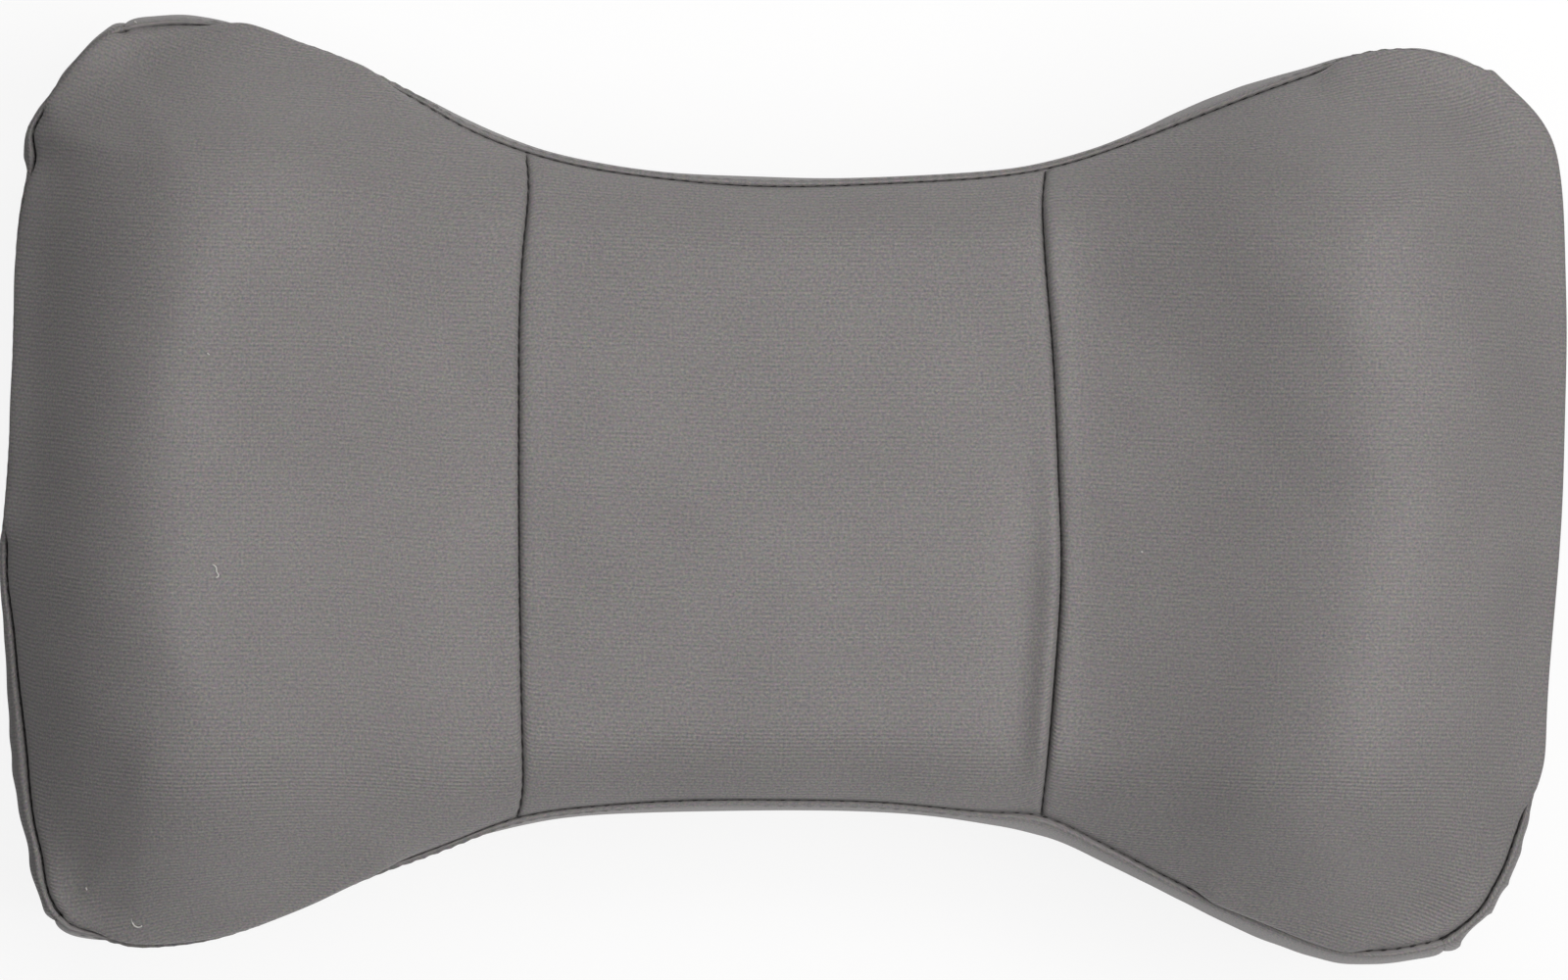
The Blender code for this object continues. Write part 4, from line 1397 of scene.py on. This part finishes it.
@dataclass
class BackCover:
    """The two back panels, drawn in along the zip and under the headrest band."""

    plan: SeamPlan
    thickness: float = 1.3
    columns: int = 170
    upper_rows: int = 78
    lower_rows: int = 42
    # The slot over the zip: half its width, how far short of the tape's end it closes, and its taper
    half_slot: float = 5.3
    tape_end: float = 4.0
    slot_taper: float = 10.0
    furrow_half: float = 12.5
    furrow_fade: float = 14.0
    furrow_depth: float = 4.2
    groove_slope: float = 2.0
    clearance: float = 0.3
    closed_gap: float = 0.3

    def __post_init__(self) -> None:
        """Read the zip's and the band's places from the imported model."""
        low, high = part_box("zip_tape_upper")
        self.zip_y = (low.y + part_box("zip_tape_lower")[1].y) / 2 / MM
        self.half_tape = high.x / MM
        self.half_zip = self.half_tape - self.tape_end
        band_low, band_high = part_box("headrest_strap")
        self.band_half = Vector(band_high).xy / MM
        self.band_thickness = (band_high.z - band_low.z) / MM

    def slot_half(self, x: np.ndarray) -> np.ndarray:
        """Half the slot between the two panels: open along the zip, closed beyond it."""
        opened = smoothstep((self.half_zip - np.abs(x)) / self.slot_taper)
        return blend(self.closed_gap / 2, self.half_slot, opened)

    def height(self, flat: np.ndarray) -> np.ndarray:
        """Work out how high the back's outer face lies.

        Args:
            flat: plan grid in millimetres.

        Returns:
            Height above the resting plane.
        """
        plan = self.plan
        x, y = flat[..., 0], flat[..., 1]
        side_gap, end_gap = plan.edge_gaps(flat)
        level = rolled(side_gap, plan.back_roll) * rolled(end_gap, plan.back_roll)
        fade = self.furrow_fade + self.slot_taper
        along = smoothstep((self.half_zip + self.furrow_fade - np.abs(x)) / fade)
        across = smoothstep((self.furrow_half - np.abs(y - self.zip_y)) / (self.furrow_half - self.half_slot))
        furrow = self.furrow_depth * along * across
        reach = self.band_half + Vector((self.clearance, self.clearance))
        groove = ((self.band_thickness + self.clearance)
                  * smoothstep(1.0 - (np.abs(x) - reach.x) / self.groove_slope)
                  * smoothstep(1.0 - (np.abs(y) - reach.y) / self.groove_slope))
        return plan.back_seam * (1.0 - level) + level * (furrow + groove)

    def build(self) -> None:
        """Make the two panels."""
        plan = self.plan
        across = packed(self.columns, roll_start=0.25, roll_end=0.25)
        ends = plan.seams[Side.LEFT], plan.seams[Side.RIGHT]
        cuts = [line.share_at(self.zip_y, 1) for line in ends]
        start, end = (line.at([cut])[0] for line, cut in zip(ends, cuts))
        x = blend(start[0], end[0], across)
        for word, sign, side, rows in (("upper", 1, Side.TOP, self.upper_rows),
                                       ("lower", -1, Side.BOTTOM, self.lower_rows)):
            y = np.full_like(x, self.zip_y) + sign * self.slot_half(x)
            zip_edge = np.stack([x, y], axis=1)
            edge = plan.seams[side].at(across)
            up = packed(rows, fine_start=0.06, roll_end=0.5)
            goal = 1.0 if side is Side.TOP else 0.0
            left, right = (line.at(blend(cut, goal, up)) for line, cut in zip(ends, cuts))
            flat = patch(zip_edge, edge, left, right, across, up)
            grid = lifted(flat, self.height(flat))
            grid = grid[:, ::-1] if side is Side.TOP else grid
            mesh = Mesh()
            mesh.add_shell(grid, self.thickness)
            piece = place(f"back_cover_{word}", mesh.build(f"back_cover_{word}"), BACK_KNIT,
                          stands_for=(f"back_panel_{word}",), slot="back_knit")


@dataclass
class FoamCore:
    """The moulded block inside the cover: two lobes, a lower middle and a trough over the zip."""

    plan: SeamPlan
    back: BackCover
    columns: int = 130
    rows: int = 84
    length_share: float = 0.98
    width_share: float = 0.95
    clear_of_face: float = 3.2
    clear_of_seam: float = 2.0
    clear_of_back: float = 1.9
    join_relief: float = 3.6
    join_reach: float = 4.5
    trough_level: float = 8.4
    trough_half: float = 10.0
    trough_slope: float = 3.0
    trough_margin: float = 1.0

    def build(self) -> None:
        """Make the block."""
        plan, back, lines = self.plan, self.back, self.plan.seams
        across, up = packed(self.columns, 0.5, 0.5), packed(self.rows, 0.5, 0.5)
        flat = patch(lines[Side.BOTTOM].at(across), lines[Side.TOP].at(across),
                     lines[Side.LEFT].at(up), lines[Side.RIGHT].at(up), across, up)
        side_gap, end_gap = plan.edge_gaps(flat)
        flat = flat * np.array([self.length_share, self.width_share])
        seam = plan.seam_height(flat[..., 0]) - self.clear_of_seam
        crown = domed(side_gap, plan.side_roll(flat[..., 0])) * domed(end_gap, plan.end_roll)
        level = plan.crown(flat[..., 0], flat[..., 1]) - plan.bow(side_gap) - self.clear_of_face
        for join in plan.joins:
            level -= self.join_relief * np.exp(-(join.nearest(flat)[0] / self.join_reach) ** 2)
        top = seam + (level - seam) * crown
        half_length = back.half_tape + self.trough_slope + self.trough_margin
        half_width = self.trough_half + self.trough_slope
        trough = (self.trough_level * smoothstep((half_length - np.abs(flat[..., 0])) / self.trough_slope)
                  * smoothstep((half_width - np.abs(flat[..., 1] - back.zip_y)) / self.trough_slope))
        under = np.maximum(back.height(flat) + self.clear_of_back, trough)
        mesh = Mesh()
        mesh.add_block(lifted(flat, top), lifted(flat, under))
        piece = place("foam_block", mesh.build("foam_block"), FOAM, stands_for=("foam_core",), slot="foam")


@dataclass
class Seams:
    """The sewing thread in every seam that shows."""

    plan: SeamPlan
    stitch: Stitch
    # How far the thread lies outside its seam, and how far above it
    edge_out: float = 0.16
    edge_up: float = -1.15
    join_up: float = 0.7
    back_up: float = 0.35
    # Rows along the zip, and boxes at the ends of the band
    zip_row: float = 1.7
    box_length: float = 14.0
    box_margin: float = 2.0
    # The thread on the back sinks into the cloth, and stays this far above the resting plane
    surface_gap: float = 0.08
    least_level: float = 0.2
    # The join of the back panels is sewn from here beyond the slot to here before the pillow's end
    join_start: float = 1.0
    join_end: float = 5.0
    edge_stations: int = 400
    zip_stations: int = 240
    join_stations: int = 90
    box_stations: int = 30

    def edge_path(self, side: Side, height: float | None = None) -> np.ndarray:
        """Path of the thread in one edge seam.

        Args:
            side: edge of the face.
            height: level of the seam, or none for the seam round the face.

        Returns:
            Points in space.
        """
        line = self.plan.seams[side]
        share = np.linspace(0.0, 1.0, self.edge_stations)
        flat = line.at(share) + line.normal(share) * self.edge_out
        if height is None:
            return lifted(flat, self.plan.seam_height(flat[:, 0]) + self.edge_up)
        return lifted(flat, np.full(len(flat), height))

    def on_back(self, back: BackCover, x: np.ndarray, y: np.ndarray) -> np.ndarray:
        """Lay a path on the back's outer face.

        Args:
            back: the back cover.
            x: plan length of each point.
            y: plan width of each point.

        Returns:
            Points in space.
        """
        flat = np.stack([x, y], axis=1)
        return lifted(flat, np.maximum(back.height(flat) - self.surface_gap, self.least_level))

    def band_box(self, back: BackCover, sign: float) -> np.ndarray:
        """Lay out the crossed box that sews down one end of the headrest band.

        Args:
            back: the back cover.
            sign: -1 for the left end, 1 for the right end.

        Returns:
            Points in space.
        """
        far = sign * (back.band_half.x - self.box_margin)
        near = far - sign * self.box_length
        half = back.band_half.y - self.box_margin
        corners = ((far, -half), (far, half), (near, half), (near, -half), (far, -half), (near, half),
                   (far, half), (near, -half))
        runs = [np.linspace(one, other, self.box_stations) for one, other in zip(corners[:-1], corners[1:])]
        flat = np.concatenate(runs)
        return lifted(flat, np.full(len(flat), self.least_level))

    def back_rows(self, back: BackCover) -> dict[str, list[np.ndarray]]:
        """Lay out the thread on the back.

        Args:
            back: the back cover.

        Returns:
            By name of the row, the paths in space.
        """
        reach = back.half_zip - back.slot_taper
        beside = np.linspace(-reach, reach, self.zip_stations)
        end = self.plan.seams[Side.RIGHT].points[:, 0].max() - self.join_end
        beyond = np.linspace(back.half_zip + self.join_start, end, self.join_stations)
        level = np.full_like(beyond, back.zip_y)
        rows: dict[str, list[np.ndarray]] = {"zip_rows": [], "back_join": [], "band_boxes": []}
        for sign in (-1.0, 1.0):
            along = back.zip_y + sign * (back.slot_half(beside) + self.zip_row)
            rows["zip_rows"].append(self.on_back(back, beside, along))
            rows["back_join"].append(self.on_back(back, sign * beyond, level))
            rows["band_boxes"].append(self.band_box(back, sign))
        return rows

    def build(self, cover: FrontCover, back: BackCover) -> None:
        """Sew the seams round the face, across it and on the back.

        Args:
            cover: the face panels.
            back: the back cover.
        """
        random = np.random.default_rng(SEED + 1)
        for word, paths in self.back_rows(back).items():
            mesh = Mesh()
            for path in paths:
                self.stitch.sew(mesh, path, random, outwards=-1.0)
            place(f"thread_{word}", mesh.build(f"thread_{word}"), THREAD, slot="back_knit")
        mesh = Mesh()
        for side in Side:
            path = self.edge_path(side, self.plan.back_seam + self.back_up)
            self.stitch.sew(mesh, path, random, outwards=-1.0)
        place("thread_back_seam", mesh.build("thread_back_seam"), THREAD, slot="back_knit")
        for side in Side:
            mesh = Mesh()
            self.stitch.sew(mesh, self.edge_path(side), random)
            word = f"thread_{side.name.lower()}_seam"
            place(word, mesh.build(word), THREAD, slot="face_knit")
        for word, grid in (("left", cover.grids["left"][:, -1]), ("right", cover.grids["right"][:, 0])):
            mesh = Mesh()
            path = grid + np.array([0.0, 0.0, self.join_up])
            self.stitch.sew(mesh, path, random)
            place(f"thread_{word}_join", mesh.build(f"thread_{word}_join"), THREAD, slot="face_knit")


@dataclass
class Zip:
    """The closing zip: tapes, coil rows, stops, slider and pull."""

    coil_pitch: float = 1.15
    wire: float = 0.27
    head_gap: float = 0.26
    turn_steps: int = 12

    # The tapes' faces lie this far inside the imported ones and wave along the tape
    tape_inset: float = 0.04
    tape_wave: float = 0.03
    tape_wave_pitch: float = 2.3
    tape_columns: int = 200
    tape_rows: int = 18

    def build_tape(self, word: str) -> None:
        """Make one tape: a thin band that waves a little along its length.

        Args:
            word: which tape.
        """
        low, high = box_mm(f"zip_tape_{word}")
        x = np.linspace(low[0], high[0], self.tape_columns)
        y = np.linspace(low[1], high[1], self.tape_rows)
        wave = self.tape_wave * np.sin(TURN * x / self.tape_wave_pitch)
        grid = np.zeros((len(y), len(x), 3))
        grid[..., 0], grid[..., 1] = x[None, :], y[:, None]
        grid[..., 2] = low[2] + self.tape_inset + wave[None, :]
        mesh = Mesh()
        mesh.add_shell(grid[:, ::-1], high[2] - low[2] - 2 * self.tape_inset)
        name = f"tape_{word}"
        place(name, mesh.build(name), ZIP_TAPE, stands_for=(f"zip_tape_{word}",), slot="zip_tape")

    def build_coil(self, word: str, sign: int) -> None:
        """Wind one row of the coil, its heads alternating with those of the other row.

        Args:
            word: which row.
            sign: 1 for the row on the +Y side.
        """
        low, high = box_mm(f"zip_coil_{word}")
        middle = (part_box("zip_coil_upper")[0].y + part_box("zip_coil_lower")[1].y) / 2 / MM
        far = (high[1] if sign > 0 else low[1]) - sign * self.wire
        near = middle + sign * (self.head_gap + self.wire)
        turns = int((high[0] - low[0] - 2 * self.wire) / self.coil_pitch)
        angle = np.linspace(0.0, TURN * turns, turns * self.turn_steps + 1) + (math.pi if sign > 0 else 0.0)
        x = np.linspace(low[0] + self.wire, low[0] + self.wire + turns * self.coil_pitch, len(angle))
        half_y, mid_y = abs(far - near) / 2, (far + near) / 2
        half_z, mid_z = (high[2] - low[2]) / 2 - self.wire, (high[2] + low[2]) / 2
        path = np.stack([x, mid_y + half_y * np.cos(angle), mid_z + half_z * np.sin(angle)], axis=1)
        mesh = Mesh()
        mesh.add_tube(path, np.full(len(path), self.wire))
        name = f"coil_{word}"
        place(name, mesh.build(name), COIL, stands_for=(f"zip_coil_{word}",), slot="zip_coil")

    def build(self) -> None:
        """Make the tapes and coils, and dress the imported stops, slider and pull."""
        for word, sign in (("upper", 1), ("lower", -1)):
            self.build_tape(word)
            self.build_coil(word, sign)
        for node in ("zip_stop_closed", "zip_stop_open", "zip_slider", "zip_pull"):
            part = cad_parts[node]
            part.data.materials.clear()
            part.data.materials.append(PLATED.material())
            LOG.info("%s: %d faces", node, len(part.data.polygons))


@dataclass
class HeadrestBand:
    """The elastic band across the back, sewn down at both ends."""

    rib_pitch: float = 1.6
    rib_height: float = 0.12
    # The selvedges draw in by this much, over this width
    rim_height: float = 0.25
    rim_reach: float = 0.4
    thickness_share: float = 0.75
    columns: int = 260
    rows: int = 126

    def build(self) -> None:
        """Make the ribbed band."""
        low, high = box_mm("headrest_strap")
        x = np.linspace(low[0], high[0], self.columns)
        y = np.linspace(low[1], high[1], self.rows)
        edge = np.minimum(y - low[1], high[1] - y)
        rib = self.rib_height * (0.5 - 0.5 * np.abs(np.cos(math.pi * (y - low[1]) / self.rib_pitch)))
        rim = self.rim_height * np.exp(-edge / self.rim_reach)
        grid = np.zeros((len(y), len(x), 3))
        grid[..., 0], grid[..., 1] = x[None, :], y[:, None]
        grid[..., 2] = low[2] + (rib + rim)[:, None]
        mesh = Mesh()
        mesh.add_shell(grid[:, ::-1], (high[2] - low[2]) * self.thickness_share)
        band = place("elastic_band", mesh.build("elastic_band"), ELASTIC, stands_for=("headrest_strap",),
                     slot="elastic")


@dataclass
class Lint:
    """The few loose fibres that lie on the face."""

    cover: FrontCover
    radius: float = 0.15
    lift: float = 0.15
    steps: int = 14
    sides: int = 5
    curls: tuple[tuple[str, PlanPoints], ...] = (
        ("hook", ((-122.3, -84.0), (-122.1, -84.9), (-121.6, -85.5), (-120.9, -85.7), (-120.3, -85.4))),
        ("squiggle", ((-107.0, -16.2), (-106.2, -16.8), (-106.1, -17.6), (-105.7, -18.3), (-106.2, -18.7))),
        ("speck_low", ((-131.1, -78.4), (-130.9, -78.8))),
        ("speck_high", ((-108.6, 23.4), (-108.3, 23.1))),
        ("speck_right", ((68.0, -10.2), (68.3, -10.4))),
        ("thread_end", ((-125.6, 86.7), (-124.9, 86.3), (-124.2, 86.4))),
    )

    def build(self) -> None:
        """Lay each fibre on the face."""
        for word, points in self.curls:
            on = np.array([self.cover.on_face(*point) for point in points])
            along = np.linspace(0.0, 1.0, self.steps)
            level = np.interp(along, np.linspace(0.0, 1.0, len(points)), on[:, 2]) + self.lift
            mesh = Mesh()
            mesh.add_tube(lifted(Line(points).at(along), level), np.full(self.steps, self.radius), self.sides)
            place(f"lint_{word}", mesh.build(f"lint_{word}"), LINT)


@dataclass(frozen=True)
class Softbox:
    """A square soft lamp, or a white card that throws light back, aimed at the pillow."""

    name: str
    position: tuple[float, float, float]
    size: float
    watts: float
    colour: tuple[float, float, float] = (1.0, 1.0, 1.0)

    def build(self) -> None:
        """Make the lamp."""
        lamp = bpy.data.lights.new(self.name, "AREA")
        lamp.energy, lamp.size, lamp.color = self.watts, self.size, self.colour
        box = bpy.data.objects.new(self.name, lamp)
        box.location = self.position
        box.rotation_euler = Vector(self.position).to_track_quat("Z", "Y").to_euler()
        box.visible_camera = False
        bpy.context.scene.collection.objects.link(box)


@dataclass
class Studio:
    """Pale floor, soft light and a camera straight above, turned as in the photograph."""

    plan: SeamPlan
    picture_width: float = 300.2
    tilt_deg: float = 1.2
    sensor: float = 36.0
    farthest: float = 20.0
    sky: float = 0.1
    sky_colour: Colour = (0.97, 0.985, 1.0, 1.0)
    # The white table throws light back from below, least on the left, where the pillow's own shadow falls
    lamps: tuple[Softbox, ...] = (
        Softbox("key", (0.55, 0.0, 0.95), 0.8, 8.3, (1.0, 0.985, 0.975)),
        Softbox("fill_above", (0.0, 0.60, 0.92), 0.8, 4.8, (1.0, 0.985, 0.975)),
        Softbox("fill_left", (-0.84, 0.0, 0.71), 0.8, 1.6),
        Softbox("fill_below", (0.0, -1.03, 0.38), 0.8, 2.1),
        Softbox("bounce_right", (0.88, 0.0, -0.66), 0.8, 2.5),
        Softbox("bounce_above", (0.0, 0.88, -0.66), 0.8, 7.5),
        Softbox("bounce_below", (0.0, -0.88, -0.66), 0.8, 9.5),
    )
    floor_half: float = 3.0
    # The board lies a hair below the cover, so that the two don't share a plane
    floor_level: float = -0.0003
    floor_glow: float = 0.85
    floor_paint: str = "FAFAFA"
    floor_light: str = "FFFFFF"
    floor_roughness: float = 0.9

    def build(self) -> None:
        """Make the floor, the lights and the camera."""
        scene = bpy.context.scene
        distance = self.plan.camera_distance * MM
        lens = bpy.data.cameras.new("camera")
        lens.sensor_width = self.sensor
        lens.lens = self.sensor * distance / (self.picture_width * MM)
        lens.clip_end = self.farthest
        camera = bpy.data.objects.new("camera", lens)
        camera.location = (0.0, 0.0, distance + self.plan.sight_level * MM)
        camera.rotation_euler = (0.0, 0.0, math.radians(self.tilt_deg))
        scene.collection.objects.link(camera)
        scene.camera = camera
        for lamp in self.lamps:
            lamp.build()
        world = bpy.data.worlds.new("studio")
        scene.world = world
        world.use_nodes = True
        sky = world.node_tree.nodes["Background"].inputs
        sky["Color"].default_value = self.sky_colour
        sky["Strength"].default_value = self.sky
        scene.view_settings.view_transform = "Standard"
        self.build_floor()

    def build_floor(self) -> None:
        """Make the floor, which hides nothing from a camera below it."""
        reach, level = self.floor_half, self.floor_level
        data = bpy.data.meshes.new("floor")
        data.from_pydata([(x * reach, y * reach, level) for x, y in ((-1, -1), (1, -1), (1, 1), (-1, 1))],
                         [], [(0, 1, 2, 3)])
        floor = bpy.data.objects.new("floor", data)
        bpy.context.scene.collection.objects.link(floor)
        data.materials.append(self.painted_board())
        floor.visible_diffuse = False
        floor.visible_glossy = False
        floor.visible_shadow = False

    def painted_board(self) -> bpy.types.Material:
        """Mix the floor's material: white paint that glows from above and is clear from below.

        Returns:
            The material.
        """
        paint = bpy.data.materials.new("Painted_board_white")
        paint.use_nodes = True
        tree = paint.node_tree
        tree.nodes.clear()
        matt = add_node(tree, "ShaderNodeBsdfPrincipled", inputs={
            "Base Color": linear(self.floor_paint), "Roughness": self.floor_roughness})
        lit = add_node(tree, "ShaderNodeEmission", inputs={
            "Color": linear(self.floor_light), "Strength": 1.0})
        board = add_node(tree, "ShaderNodeMixShader", inputs={
            0: self.floor_glow, 1: matt.outputs[0], 2: lit.outputs[0]})
        clear = add_node(tree, "ShaderNodeBsdfTransparent")
        under = add_node(tree, "ShaderNodeNewGeometry").outputs["Backfacing"]
        shown = add_node(tree, "ShaderNodeMixShader", inputs={
            0: under, 1: board.outputs[0], 2: clear.outputs[0]}).outputs[0]
        add_node(tree, "ShaderNodeOutputMaterial", inputs={"Surface": shown})
        return paint


def main() -> None:
    """Build the pillow's parts in order, then the studio."""
    logging.basicConfig(level=logging.INFO, format="%(name)s %(message)s")
    plan, stitch = SeamPlan(), Stitch()
    cover = FrontCover(plan, stitch)
    cover.build()
    BoxingStrips(plan, stitch).build()
    back = BackCover(plan)
    back.build()
    FoamCore(plan, back).build()
    Seams(plan, stitch).build(cover, back)
    Zip().build()
    HeadrestBand().build()
    Lint(cover).build()
    Studio(plan).build()


if __name__ == "__main__":
    main()
